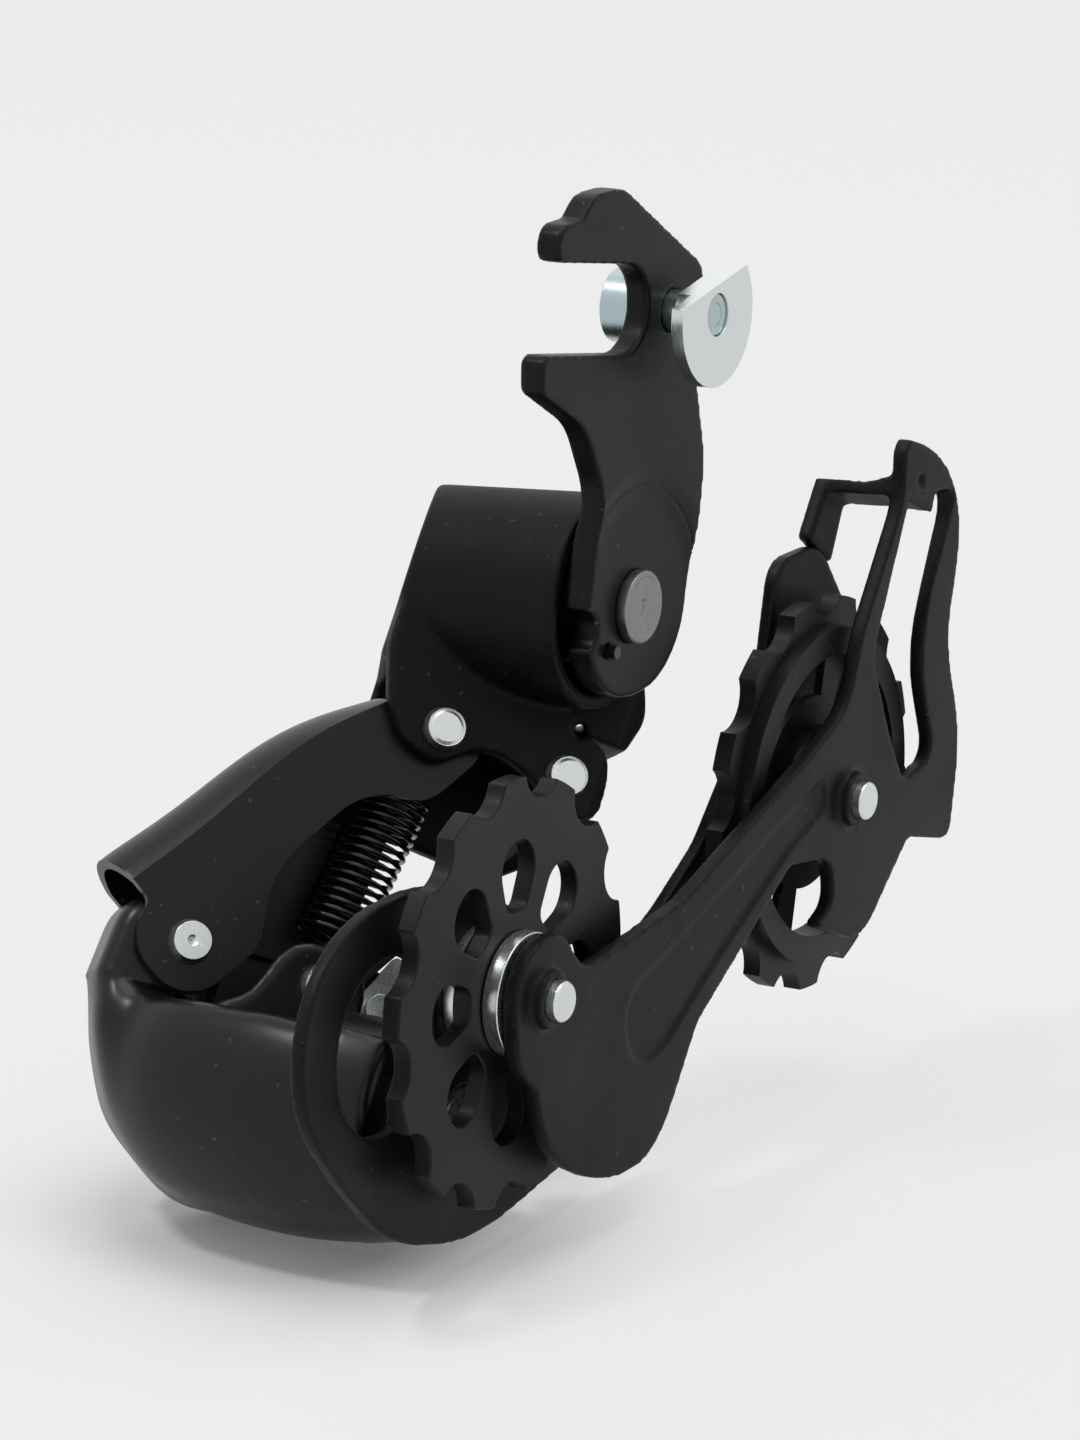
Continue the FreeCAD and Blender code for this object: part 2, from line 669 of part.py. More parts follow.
def p_knuckle():
    """Crowned drum round the P axis, cut off flat under the links, with their lugs on top."""
    crown = Part.BSplineCurve()
    crown.interpolate([
        V(P_DRUM_MOUTH_RADIUS, P_DRUM_INNER_Y, 0),
        V(P_DRUM_RADIUS, -12.0, 0),
        V(P_DRUM_RADIUS, -27.0, 0),
        V(P_DRUM_RADIUS - 3.0, P_DRUM_OUTER_Y + 7.0, 0),
        V(P_DRUM_RADIUS - 9.0, P_DRUM_OUTER_Y + 1.4, 0),
        V(0, P_DRUM_OUTER_Y, 0),
    ])
    end = V(0, P_DRUM_INNER_Y, 0)
    profile = Part.Wire([
        crown.toShape(),
        Part.makeLine(V(0, P_DRUM_OUTER_Y, 0), end),
        Part.makeLine(end, V(P_DRUM_MOUTH_RADIUS, P_DRUM_INNER_Y, 0)),
    ])
    drum = Part.Face(profile).revolve(V(0, 0, 0), V(0, 1, 0), 360)
    drum.translate(V(P_AXIS_X, 0, P_AXIS_Z))
    shoulder_outline = [
        (PIN_C[0] - 8.8, DECK + 8, 3.0),
        (PIN_C[0] - 8.7, DECK - 3.9, 8.0),
        (PIN_C[0] - 3.3, DECK - 13.9, 8.0),
        (PIN_C[0] + 8.2, DECK - 20.9, 8.0),
        (PIN_C[0] + 20.2, DECK - 18.4, 8.0),
        (PIN_C[0] + 26.2, DECK + 8, 3.0),
    ]
    shoulder = tapered(shoulder_outline, FAR_FACE, LINK_NEAR, P_SHOULDER_DRAFT, LINKAGE)
    rims = [edge for edge in shoulder.Edges if is_flat_rim(edge)]
    shoulder = shoulder.makeFillet(2.4, rims)
    sky = prism(
        [(-70, DECK, 0), (60, DECK, 0), (60, 40, 0), (-70, 40, 0)],
        -60, 60, LINKAGE,
    )
    body = drum.fuse(shoulder).cut(sky)
    tube = shaft(
        P_AXIS_X, P_AXIS_Z, P_CUP_RADIUS + P_WALL, P_DRUM_INNER_Y, P_DRUM_INNER_Y - P_CUP_DEPTH - 2,
    )
    ear = 4.9
    near_ear = prism(
        [
            (PIN_D[0] - ear, PIN_D[1] + ear, ear - 0.1),
            (PIN_D[0] + ear, PIN_D[1] + ear, ear - 0.1),
            (PIN_D[0] + ear + 2, DECK - 3, 0),
            (PIN_C[0] + 0.2, DECK - 3, 0),
            (PIN_C[0] + 3.2, DECK + 0.2, 6.0),
            (PIN_D[0] - ear - 3, PIN_D[1] - 3.5, 5.0),
        ],
        NEAR_FACE - FORK_PLATE, NEAR_FACE, LINKAGE,
    )
    far_ear = prism(
        [
            (PIN_C[0] - 6.2, PIN_C[1] + 5.0, 5.0),
            (PIN_D[0] + ear, PIN_D[1] + ear, ear - 0.1),
            (PIN_D[0] + ear + 1, DECK - 3, 0),
            (PIN_C[0] - 5.6, DECK - 3, 0),
        ],
        FAR_FACE, FAR_PLATE, LINKAGE,
    )
    boss = prism(
        [
            (PIN_C[0] + 5.3, PIN_C[1] + 5.2, 4.8),
            (PIN_C[0] - 8.2, PIN_C[1] + 5.2, 5.5),
            (PIN_C[0] - 9.0, DECK - 3, 4.0),
            (PIN_C[0] + 6.0, DECK - 3, 0),
        ],
        LINK_FAR + LINK_SHEET + SIDE, LINK_NEAR - LINK_SHEET - SIDE, LINKAGE,
    )
    boss = boss.makeFillet(2.4, [edge for edge in boss.Edges if is_flat_rim(edge)])
    body = body.fuse([tube, near_ear, far_ear, boss])
    cup = shaft(P_AXIS_X, P_AXIS_Z, P_CUP_RADIUS, 5, P_DRUM_INNER_Y - P_CUP_DEPTH)
    bore = shaft(P_AXIS_X, P_AXIS_Z, P_AXLE_RADIUS + RUNNING, 5, P_DRUM_INNER_Y - P_AXLE_LENGTH - 2)
    floor_y = P_DRUM_INNER_Y - P_CUP_DEPTH
    leg = polar(P_AXIS_X, P_AXIS_Z, P_SPRING_RADIUS, P_SPRING_ANGLE)
    leg_hole = shaft(*leg, P_SPRING_WIRE / 2, floor_y, floor_y - LEG_DEPTH)
    body = body.cut([cup, bore, leg_hole])
    for pin in (PIN_C, PIN_D):
        body = body.cut(rod(*pin, PIN_RADIUS, FAR_FACE - 5, 6, LINKAGE))
    return body.fuse(stop_lug()).removeSplitter()


def is_flat_rim(edge):
    """True for an edge that runs across the links and bounds a near or far face."""
    normal = unit(PIN_NORMAL)
    ends = [vertex.Point for vertex in edge.Vertexes]
    return abs((ends[-1] - ends[0]).dot(normal)) < 1e-6


def stop_lug():
    """Lug on the drum that the cage's stop pin rests on when the cage hangs free."""
    angle = STOP_PIN_ANGLE - 11.0
    near = P_CUP_RADIUS + P_WALL / 2
    far = STOP_PIN_REACH + 2.0
    lug = Part.makeBox(far - near, 4.5, 2.6, V(near, P_DRUM_INNER_Y - 4.5, -1.3))
    lug.rotate(V(0, 0, 0), V(0, -1, 0), angle)
    lug.translate(V(P_AXIS_X, 0, P_AXIS_Z))
    return lug


def p_axle():
    """Stepped axle riveted in the outer cage plate; its flange spaces plate and drum."""
    plate_outer = OUTER_PLATE_INNER_Y - OUTER_PLATE
    flange = shaft(P_AXIS_X, P_AXIS_Z, P_FLANGE_RADIUS, plate_outer, P_DRUM_INNER_Y + SIDE)
    end_y = P_DRUM_INNER_Y - P_AXLE_LENGTH
    stem = shaft(P_AXIS_X, P_AXIS_Z, P_AXLE_RADIUS, OUTER_PLATE_INNER_Y, end_y)
    return flange.fuse(stem).removeSplitter()


def p_spring():
    """Torsion spring that winds the cage back: one leg in the cage plate, one in the cup's floor."""
    pitch, turns = P_SPRING_PITCH, P_SPRING_TURNS
    inner_y = P_DRUM_INNER_Y - P_CUP_DEPTH + P_SPRING_SEAT + pitch * turns
    plate_y = OUTER_PLATE_INNER_Y - OUTER_PLATE
    return torsion_spring(
        (P_AXIS_X, P_AXIS_Z),
        (P_SPRING_RADIUS, P_SPRING_WIRE, pitch, turns),
        P_SPRING_ANGLE, inner_y, (plate_y + OUTER_PLATE - 0.3 - inner_y, P_SPRING_SEAT + LEG_DEPTH - SIDE),
    )


PULLEY_OUTER_Y = PULLEY_INNER_Y - HUB_WIDTH
OUTER_PLATE_INNER_Y = PULLEY_OUTER_Y - CAP_HEIGHT
INNER_PLATE_OUTER_Y = PULLEY_INNER_Y + CAP_HEIGHT
INNER_PLATE_INNER_Y = INNER_PLATE_OUTER_Y + INNER_PLATE


def toothed_disc(x, z, inner_y, outer_y, phase):
    """Disc whose tooth gaps are arcs of the chain's roller seats on the pitch circle."""
    pitch_radius = CHAIN_PITCH / (2 * math.sin(math.pi / TEETH))
    cos_half = (pitch_radius ** 2 + TIP_RADIUS ** 2 - ROLLER_SEAT_RADIUS ** 2)
    cos_half /= 2 * pitch_radius * TIP_RADIUS
    gap = math.degrees(math.acos(cos_half))
    step = 360.0 / TEETH
    edges = []
    for tooth in range(TEETH):
        middle = phase + tooth * step
        start = V(*polar(0, 0, TIP_RADIUS, middle - gap), 0)
        deep = V(*polar(0, 0, pitch_radius - ROLLER_SEAT_RADIUS, middle), 0)
        end = V(*polar(0, 0, TIP_RADIUS, middle + gap), 0)
        crest = V(*polar(0, 0, TIP_RADIUS, middle + step / 2), 0)
        following = V(*polar(0, 0, TIP_RADIUS, middle + step - gap), 0)
        edges.append(Part.Arc(start, deep, end).toShape())
        edges.append(Part.Arc(end, crest, following).toShape())
    disc = Part.Face(Part.Wire(edges)).extrude(V(0, 0, inner_y - outer_y))
    disc.translate(V(x, z, -inner_y))
    return placed(disc, LATERAL)


def guide_pulley():
    middle_y = (PULLEY_INNER_Y + PULLEY_OUTER_Y) / 2
    half = TOOTH_WIDTH / 2
    disc = toothed_disc(GUIDE_X, GUIDE_Z, PULLEY_INNER_Y, PULLEY_INNER_Y - TOOTH_WIDTH, 50.0)
    hub = shaft(GUIDE_X, GUIDE_Z, HUB_RADIUS, PULLEY_INNER_Y, PULLEY_OUTER_Y)
    wheel = disc.fuse(hub)
    for hole in range(8):
        centre = 50.0 + 45.0 * hole
        corners = [
            (*polar(GUIDE_X, GUIDE_Z, 9.6, centre + 12), 1.6),
            (*polar(GUIDE_X, GUIDE_Z, 9.6, centre - 12), 1.6),
            (*polar(GUIDE_X, GUIDE_Z, 18.4, centre - 16), 3.4),
            (*polar(GUIDE_X, GUIDE_Z, 18.4, centre + 16), 3.4),
        ]
        wheel = wheel.cut(lateral(corners, PULLEY_INNER_Y + 1, PULLEY_OUTER_Y - 1))
    wheel = wheel.cut(shaft(GUIDE_X, GUIDE_Z, BUSH_RADIUS + RUNNING, 20, -20))
    return wheel.removeSplitter()


def tension_pulley():
    """Toothed wheel with a raised rim, a sunk web and four open windows round its hub."""
    tooth_inner = PULLEY_INNER_Y - 0.4
    tooth_outer = tooth_inner - TOOTH_WIDTH
    disc = toothed_disc(TENSION_X, TENSION_Z, tooth_inner, tooth_outer, 11.0)
    rim = shaft(TENSION_X, TENSION_Z, RIM_RADIUS, PULLEY_INNER_Y + RIM_RISE, tooth_outer)
    bowl = shaft(
        TENSION_X, TENSION_Z, RIM_RADIUS - RIM_WALL, PULLEY_INNER_Y + 5, tooth_outer + PULLEY_WEB,
    )
    hub = shaft(TENSION_X, TENSION_Z, HUB_RADIUS, PULLEY_INNER_Y, PULLEY_OUTER_Y)
    wheel = disc.fuse(rim).cut(bowl).fuse(hub)
    outer = RIM_RADIUS - RIM_WALL
    for hole in range(4):
        centre = -112.0 + 90.0 * hole
        window = shaft(TENSION_X, TENSION_Z, outer, tooth_inner, tooth_outer - 1)
        window = window.cut(shaft(TENSION_X, TENSION_Z, HUB_RADIUS + 3.6, 20, -20))
        sector = lateral(
            [
                (TENSION_X, TENSION_Z, 0),
                (*polar(TENSION_X, TENSION_Z, 2 * outer, centre - 36), 0),
                (*polar(TENSION_X, TENSION_Z, 2 * outer, centre + 36), 0),
            ],
            tooth_inner, tooth_outer - 1,
        )
        wheel = wheel.cut(window.common(sector))
    wheel = wheel.cut(shaft(TENSION_X, TENSION_Z, BUSH_RADIUS + RUNNING, 20, -20))
    return wheel.removeSplitter()


def pulley_cap(x, z, inner_y, outer_y):
    """Steel dust cap between a pulley hub and one cage plate."""
    return shaft(x, z, CAP_RADIUS, inner_y, outer_y).cut(shaft(x, z, BUSH_RADIUS, 20, -20))


def pulley_bush(x, z):
    bush = shaft(x, z, BUSH_RADIUS, INNER_PLATE_OUTER_Y, OUTER_PLATE_INNER_Y)
    return bush.cut(shaft(x, z, PULLEY_BOLT_RADIUS, 20, -20))


def pulley_bolt(x, z):
    tip_y = INNER_PLATE_INNER_Y + COLLAR_HEIGHT + BOLT_REACH
    plate_outer = OUTER_PLATE_INNER_Y - OUTER_PLATE
    stem = shaft(x, z, PULLEY_BOLT_RADIUS, tip_y, plate_outer)
    head = shaft(x, z, 4.0, plate_outer, plate_outer - 1.8)
    head = head.cut(rod(x, z, 1.5, -plate_outer + 0.8, -plate_outer + 3, LATERAL))
    bolt = stem.fuse(head)
    rim = [edge for edge in bolt.Edges if abs(edge.BoundBox.YMin - tip_y) < 1e-3]
    return bolt.makeChamfer(0.35, rim).removeSplitter()


def chain_tab():
    """Strip that leaves the inner plate over the chain and bends down in front of the outer plate."""
    stations = [
        (INNER_PLATE_INNER_Y - 0.6, 2 * TAB_SHEET, (-92.1, 56.5), (-101.7, 52.3)),
        (5.4, TAB_SHEET, (-90.5, 56.6), (-95.7, 53.8)),
        (-INNER_PLATE / 2, TAB_SHEET, (-88.3, 56.8), (-93.5, 54.0)),
    ]
    sections = []
    for y, sheet, front, rear in stations:
        along = V(rear[0] - front[0], 0, rear[1] - front[1])
        along.normalize()
        up = V(along.z, 0, -along.x) * sheet
        corners = [V(P_AXIS_X + x, y, P_AXIS_Z + z) for x, z in (front, rear)]
        corners += [corners[1] + up, corners[0] + up]
        sections.append(Part.makePolygon(corners + [corners[0]]))
    reach = Part.makeLoft(sections, True, True)
    drop = lateral(
        about_p_axis([(-89.2, 58.2, 0.9), (-84.3, 51.4, 0.5), (-90.4, 46.9, 0.8), (-94.6, 55.3, 0.5)]),
        INNER_PLATE / 2, -INNER_PLATE / 2,
    )
    return reach.fuse(drop)


def inner_cage_plate():
    outline = [
        (3.9, 22.0, 6.6),
        (3.2, 8.5, 5.0),
        (-3.1, 3.0, 4.0),
        (-0.5, -3.3, 3.5),
        (-15.1, -10.9, 14.0),
        (-29.5, -13.3, 4.5),
        (-37.1, 1.1, 12.0),
        (-62.7, 15.7, 3.2),
        (-73.7, 14.1, 3.6),
        (-74.3, 7.9, 2.6),
        (-69.7, 6.1, 0.5),
        (-82.1, 0.9, 7.0),
        (-95.1, 11.4, 2.4),
        (-107.1, 8.2, 2.0),
        (-109.9, 21.5, 20.0),
        (-104.7, 36.5, 16.0),
        (-111.7, 51.5, 6.0),
        (-103.5, 60.1, 14.0),
        (-92.5, 64.9, 2.8),
        (-92.3, 55.9, 10.0),
        (-81.3, 40.9, 14.0),
        (-77.7, 32.3, 9.0),
        (-67.1, 28.1, 12.0),
        (-35.1, 18.1, 20.0),
        (-12.1, 16.1, 5.0),
        (-6.8, 22.2, 4.0),
    ]
    slot = [
        (-94.3, 56.3, 0.8),
        (-88.9, 46.1, 8.0),
        (-84.3, 37.5, 4.5),
        (-89.0, 26.9, 9.0),
        (-93.5, 19.1, 2.8),
        (-102.1, 20.5, 2.6),
        (-97.5, 33.5, 14.0),
        (-99.9, 42.1, 12.0),
        (-107.3, 54.5, 1.0),
    ]
    bead = [
        (-71.7, 25.3, 1.9),
        (-35.1, 14.1, 14.0),
        (-20.3, 10.1, 5.0),
        (-23.7, -0.1, 5.0),
        (-31.5, 1.7, 6.0),
        (-42.1, 7.7, 10.0),
        (-63.1, 17.9, 8.0),
        (-72.3, 20.9, 1.9),
    ]
    plate = lateral(about_p_axis(outline), INNER_PLATE_INNER_Y, INNER_PLATE_OUTER_Y)
    plate = plate.cut(lateral(about_p_axis(slot), INNER_PLATE_INNER_Y + 1, INNER_PLATE_OUTER_Y - 1))
    plate = plate.cut(lateral(about_p_axis(bead), INNER_PLATE_INNER_Y + 1, INNER_PLATE_INNER_Y - BEAD_DEPTH))
    plate = plate.cut(shaft(P_AXIS_X - 97.1, P_AXIS_Z + 57.5, TAB_HOLE_RADIUS, 20, -20))
    plate = plate.fuse(chain_tab())
    for x, z in ((GUIDE_X, GUIDE_Z), (TENSION_X, TENSION_Z)):
        plate = plate.fuse(shaft(x, z, COLLAR_RADIUS, INNER_PLATE_INNER_Y + COLLAR_HEIGHT, INNER_PLATE_INNER_Y))
        plate = plate.cut(shaft(x, z, PULLEY_BOLT_RADIUS, 30, -20))
    return plate.removeSplitter()


def outer_cage_plate():
    outer_y = OUTER_PLATE_INNER_Y - OUTER_PLATE
    outline = [
        (6.9, 30.5, 6.0),
        (35.9, 30.5, 15.5),
        (34.3, 9.0, 12.0),
        (15.9, -11.1, 16.0),
        (-3.1, -15.7, 14.0),
        (-35.1, -10.5, 14.0),
        (-59.1, 3.5, 20.0),
        (-75.1, 9.1, 14.0),
        (-91.1, 7.1, 8.0),
        (-99.5, 21.5, 12.0),
        (-97.5, 37.5, 14.0),
        (-87.7, 50.1, 6.0),
        (-76.1, 50.1, 4.0),
        (-72.1, 33.5, 12.0),
        (-57.1, 18.5, 14.0),
        (-33.1, 5.5, 16.0),
        (-11.1, 23.5, 8.0),
    ]
    plate = lateral(about_p_axis(outline), OUTER_PLATE_INNER_Y, outer_y)
    window = shaft(P_AXIS_X + 16.2, P_AXIS_Z + 13.3, 10.2, 20, -20)
    plate = plate.cut(window)
    plate = plate.cut(shaft(P_AXIS_X, P_AXIS_Z, P_AXLE_RADIUS, 20, -20))
    for x, z in ((GUIDE_X, GUIDE_Z), (TENSION_X, TENSION_Z)):
        plate = plate.cut(shaft(x, z, PULLEY_BOLT_RADIUS, 30, -20))
    stop = polar(P_AXIS_X, P_AXIS_Z, STOP_PIN_REACH, STOP_PIN_ANGLE)
    plate = plate.cut(shaft(*stop, STOP_PIN_RADIUS - 0.4, 20, -20))
    leg = polar(P_AXIS_X, P_AXIS_Z, P_SPRING_RADIUS, P_SPRING_ANGLE)
    plate = plate.cut(shaft(*leg, P_SPRING_WIRE / 2 + RUNNING, 20, -20))
    return plate.removeSplitter()


def cage_stop_pin():
    x, z = polar(P_AXIS_X, P_AXIS_Z, STOP_PIN_REACH, STOP_PIN_ANGLE)
    outer_y = OUTER_PLATE_INNER_Y - OUTER_PLATE
    post = shaft(x, z, STOP_PIN_RADIUS, outer_y, P_DRUM_INNER_Y - 4.5)
    return post.fuse(shaft(x, z, STOP_PIN_RADIUS - 0.4, OUTER_PLATE_INNER_Y, outer_y)).removeSplitter()


def hanger_bolt():
    """Bolt that holds the bracket on the dropout, run through from the outer side."""
    head_y = -HANGER_THICKNESS
    stem = shaft(BOLT_HOLE_X, BOLT_HOLE_Z, FIXING_BOLT_RADIUS, NUT_INNER_Y - 0.3, head_y)
    head = shaft(BOLT_HOLE_X, BOLT_HOLE_Z, FIXING_HEAD_RADIUS, head_y, head_y - FIXING_HEAD_HEIGHT)
    socket = hexagon(
        (BOLT_HOLE_X, BOLT_HOLE_Z), 2.3,
        FIXING_HEAD_HEIGHT - head_y - 2.4, FIXING_HEAD_HEIGHT - head_y + 1, LATERAL,
    )
    return stem.fuse(head.cut(socket)).removeSplitter()


def hanger_nut():
    """Round nut plate with its top cut straight and a collar that enters the dropout slot."""
    disc = shaft(BOLT_HOLE_X, BOLT_HOLE_Z, NUT_RADIUS, NUT_INNER_Y, NUT_INNER_Y - NUT_THICKNESS)
    collar_inner = NUT_INNER_Y - NUT_THICKNESS
    collar = shaft(BOLT_HOLE_X, BOLT_HOLE_Z, NUT_COLLAR, collar_inner, collar_inner - 1.7)
    nut = disc.fuse(collar)
    above = Part.makeBox(40, 20, 20, V(BOLT_HOLE_X - 20, -5, BOLT_HOLE_Z + NUT_FLAT))
    above.rotate(V(BOLT_HOLE_X, 0, BOLT_HOLE_Z), V(0, 1, 0), 10.8)
    nut = nut.cut(above)
    return nut.cut(shaft(BOLT_HOLE_X, BOLT_HOLE_Z, FIXING_BOLT_RADIUS + RUNNING, 20, -20)).removeSplitter()


def along_x(z, y, radius, rear, front):
    return Part.makeCylinder(radius, front - rear, V(rear, y, z), V(1, 0, 0))


def limit_screw(y):
    """Cross-head stop screw that points forwards at the top end of the outer link."""
    shank = along_x(LIMIT_Z, y, LIMIT_RADIUS, LIMIT_HEAD_X, LIMIT_TIP_X)
    head = along_x(LIMIT_Z, y, LIMIT_HEAD_RADIUS, LIMIT_HEAD_X - 2.4, LIMIT_HEAD_X)
    screw = shank.fuse(head)
    for width, height in ((0.9, 4.0), (4.0, 0.9)):
        slot = Part.makeBox(1.4, width, height)
        slot.translate(V(LIMIT_HEAD_X - 2.4, y - width / 2, LIMIT_Z - height / 2))
        screw = screw.cut(slot)
    return screw.removeSplitter()


def adjuster_frame():
    """Placement of the cable's barrel adjuster: third axis out of the knuckle to the rear."""
    return FreeCAD.Placement(V(*ADJUSTER_SEAT), FreeCAD.Rotation(V(0, 0, 1), V(*ADJUSTER_AIM)))


def barrel_adjuster():
    """Hollow screw with a fluted knob that takes the end of the cable's outer casing."""
    frame = adjuster_frame()
    knob = rod(0, 0, ADJUSTER_KNOB_RADIUS, ADJUSTER_GAP, 9.0, frame)
    for flute in range(10):
        groove = polar(0, 0, ADJUSTER_KNOB_RADIUS + 0.5, 36 * flute)
        knob = knob.cut(rod(*groove, 1.0, 2, 10, frame))
    thread = rod(0, 0, ADJUSTER_THREAD_RADIUS, -8.0, 3.0, frame)
    body = knob.fuse(thread)
    body = body.cut(rod(0, 0, CASING_RADIUS, 4.0, 12.0, frame))
    return body.cut(rod(0, 0, CABLE_RADIUS, -12.0, 12.0, frame)).removeSplitter()


def adjuster_spring():
    """Small coil between knuckle and knob that holds the adjuster's setting."""
    wire = 0.6
    turns = 3
    lift = wire / 2 + SIDE / 2
    pitch = (ADJUSTER_GAP - 2 * lift) / turns
    coil = helix_spring(ADJUSTER_THREAD_RADIUS + 0.8, wire, pitch, turns)
    coil.translate(V(0, 0, lift))
    return placed(coil, adjuster_frame())


save("hanger_bracket", hanger_bracket())
save("limit_screw_high", limit_screw(LIMIT_HIGH_Y))
save("limit_screw_low", limit_screw(LIMIT_LOW_Y))
save("barrel_adjuster", barrel_adjuster())
save("adjuster_spring", adjuster_spring())
save("b_axle", b_axle())
save("b_retainer", b_retainer())
save("b_spring", b_spring())
save("b_knuckle", b_knuckle())
save("outer_link", outer_link())
save("inner_link", inner_link())
save("cable_clamp_plate", cable_clamp_plate())
save("cable_clamp_bolt", cable_clamp_bolt())
save("upper_outer_pin", link_pin(PIN_A, FAR_FACE, NEAR_FACE, False))
save("upper_inner_pin", link_pin(PIN_B, FAR_FACE, NEAR_FACE, False))
save("lower_outer_pin", link_pin(PIN_C, FAR_FACE, LINK_NEAR, True))
save("lower_inner_pin", link_pin(PIN_D, FAR_FACE, NEAR_FACE, False))
save("return_spring", return_spring())
save("p_knuckle", p_knuckle())
save("p_axle", p_axle())
save("p_spring", p_spring())
save("guide_pulley", guide_pulley())
save("tension_pulley", tension_pulley())
for name, x, z in (("guide", GUIDE_X, GUIDE_Z), ("tension", TENSION_X, TENSION_Z)):
    save(name + "_inner_cap", pulley_cap(x, z, INNER_PLATE_OUTER_Y, PULLEY_INNER_Y + CAP_GAP))
    save(name + "_outer_cap", pulley_cap(x, z, PULLEY_OUTER_Y - CAP_GAP, OUTER_PLATE_INNER_Y))
    save(name + "_bush", pulley_bush(x, z))
    save(name + "_bolt", pulley_bolt(x, z))
save("inner_cage_plate", inner_cage_plate())
save("outer_cage_plate", outer_cage_plate())
save("cage_stop_pin", cage_stop_pin())
save("hanger_bolt", hanger_bolt())
save("hanger_nut", hanger_nut())
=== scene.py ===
import json
import math

import bmesh
import bpy
from mathutils import Matrix, Vector


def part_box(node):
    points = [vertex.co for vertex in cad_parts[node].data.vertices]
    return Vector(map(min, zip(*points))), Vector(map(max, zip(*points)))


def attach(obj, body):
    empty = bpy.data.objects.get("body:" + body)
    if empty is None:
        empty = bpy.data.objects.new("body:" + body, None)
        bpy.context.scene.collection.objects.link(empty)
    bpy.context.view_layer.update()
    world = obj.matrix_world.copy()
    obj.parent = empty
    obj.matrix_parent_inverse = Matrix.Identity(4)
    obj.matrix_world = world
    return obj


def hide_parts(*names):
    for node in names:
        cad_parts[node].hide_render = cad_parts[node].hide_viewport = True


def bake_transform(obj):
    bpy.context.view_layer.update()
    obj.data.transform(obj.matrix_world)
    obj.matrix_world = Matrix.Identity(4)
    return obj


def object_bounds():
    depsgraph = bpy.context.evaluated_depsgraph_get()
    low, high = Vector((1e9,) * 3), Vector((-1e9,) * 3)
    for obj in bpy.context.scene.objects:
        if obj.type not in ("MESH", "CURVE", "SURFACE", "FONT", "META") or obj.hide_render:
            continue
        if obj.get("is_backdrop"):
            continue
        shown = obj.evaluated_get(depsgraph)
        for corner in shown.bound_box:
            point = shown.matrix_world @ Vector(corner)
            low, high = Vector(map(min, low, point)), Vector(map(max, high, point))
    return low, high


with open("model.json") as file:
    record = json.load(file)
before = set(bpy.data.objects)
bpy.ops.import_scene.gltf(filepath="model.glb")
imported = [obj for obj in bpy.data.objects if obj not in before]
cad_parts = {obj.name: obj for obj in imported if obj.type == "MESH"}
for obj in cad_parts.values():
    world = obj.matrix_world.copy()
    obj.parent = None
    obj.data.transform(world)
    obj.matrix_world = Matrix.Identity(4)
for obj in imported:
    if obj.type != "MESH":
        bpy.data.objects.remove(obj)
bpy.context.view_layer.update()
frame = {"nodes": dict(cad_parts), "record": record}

bl_info = {
    "name": "Rear derailleur looks",
    "version": (1, 0, 0),
    "blender": (4, 5, 0),
    "location": "View3D > Sidebar > Derailleur",
    "description": "Castings, pressed plates, spring, pins and finishes of a rear derailleur",
    "category": "Object",
}

MM = 0.001
JOINTS = {joint["name"]: joint for joint in frame["record"]["behaviour"]["joints"]}
BODIES = frame["record"]["behaviour"]["bodies"]
SLOTS = {part["node"]: part["material_slot"] for part in frame["record"]["subparts"]}
PIN_AXIS = Vector(JOINTS["link_swing"]["axis"]).normalized()
PIN_A = Vector(JOINTS["link_swing"]["pos_m"])
PIN_B = Vector(JOINTS["inner_link_swing"]["pos_m"])
PIN_C = Vector(JOINTS["lower_knuckle_level"]["pos_m"])
PIN_D = PIN_B + PIN_C - PIN_A
WHEELWARD = Vector((0, 1, 0))

# Lower knuckle: its closed end, softened further, starts this far under the links' deck and
# this far outboard of the hanger.
DECK_DROP = 6.4 * MM
DRUM_SOFT_Y = -9.0 * MM

# Cage plates: the parts of their outlines that are evened, and the pressed bead.
OUTLINE_STEP = 0.8 * MM
DISC_FROM_X = -8.0 * MM
KNEE_TOP_Z = -83.0 * MM
ARM_TOP_Z = -48.0 * MM
ARM_TO_X = -55.0 * MM
BEAD_HALF_LENGTH = 46.0 * MM
BEAD_DEPTH = 1.0 * MM

# Outer link's sheet, and the step pressed in the hanger round its pivot.
LINK_SHEET = 1.5 * MM
DISH_RADIUS = 14.4 * MM
DISH_DEPTH = 0.8 * MM
DISH_RAMP = 2.6 * MM

# Return spring: straight neck at each end, the pins its eyes hang on, the eyes' play round
# them, and the mesh steps of its coils, eyes and legs.
SPRING_NECK = 7.4 * MM
SPRING_PIN_RADIUS = 2.0 * MM
EYE_PLAY = 0.1 * MM
COIL_STEPS = 26
EYE_STEPS = 32
LEG_STEPS = 4

# Mesh making: corners nearer than a gap are one, and faces within FLAT_ANGLE are one.
CORNER_GAP = 0.0005 * MM
SEAM_GAP = 0.001 * MM
HEAD_GAP = 0.05 * MM
FLAT_ANGLE = math.radians(0.4)
EDGE_ANGLE = math.radians(32.0)
FLAT_SHADING = 80

# How nearly a face looks along an axis, as the cosine between them.
SQUARE_ON = 0.999
FLAT_SIDE = 0.9
OPEN_END = 0.7
BEAD_SLOPE = 0.6
CUT_WALL = 0.4


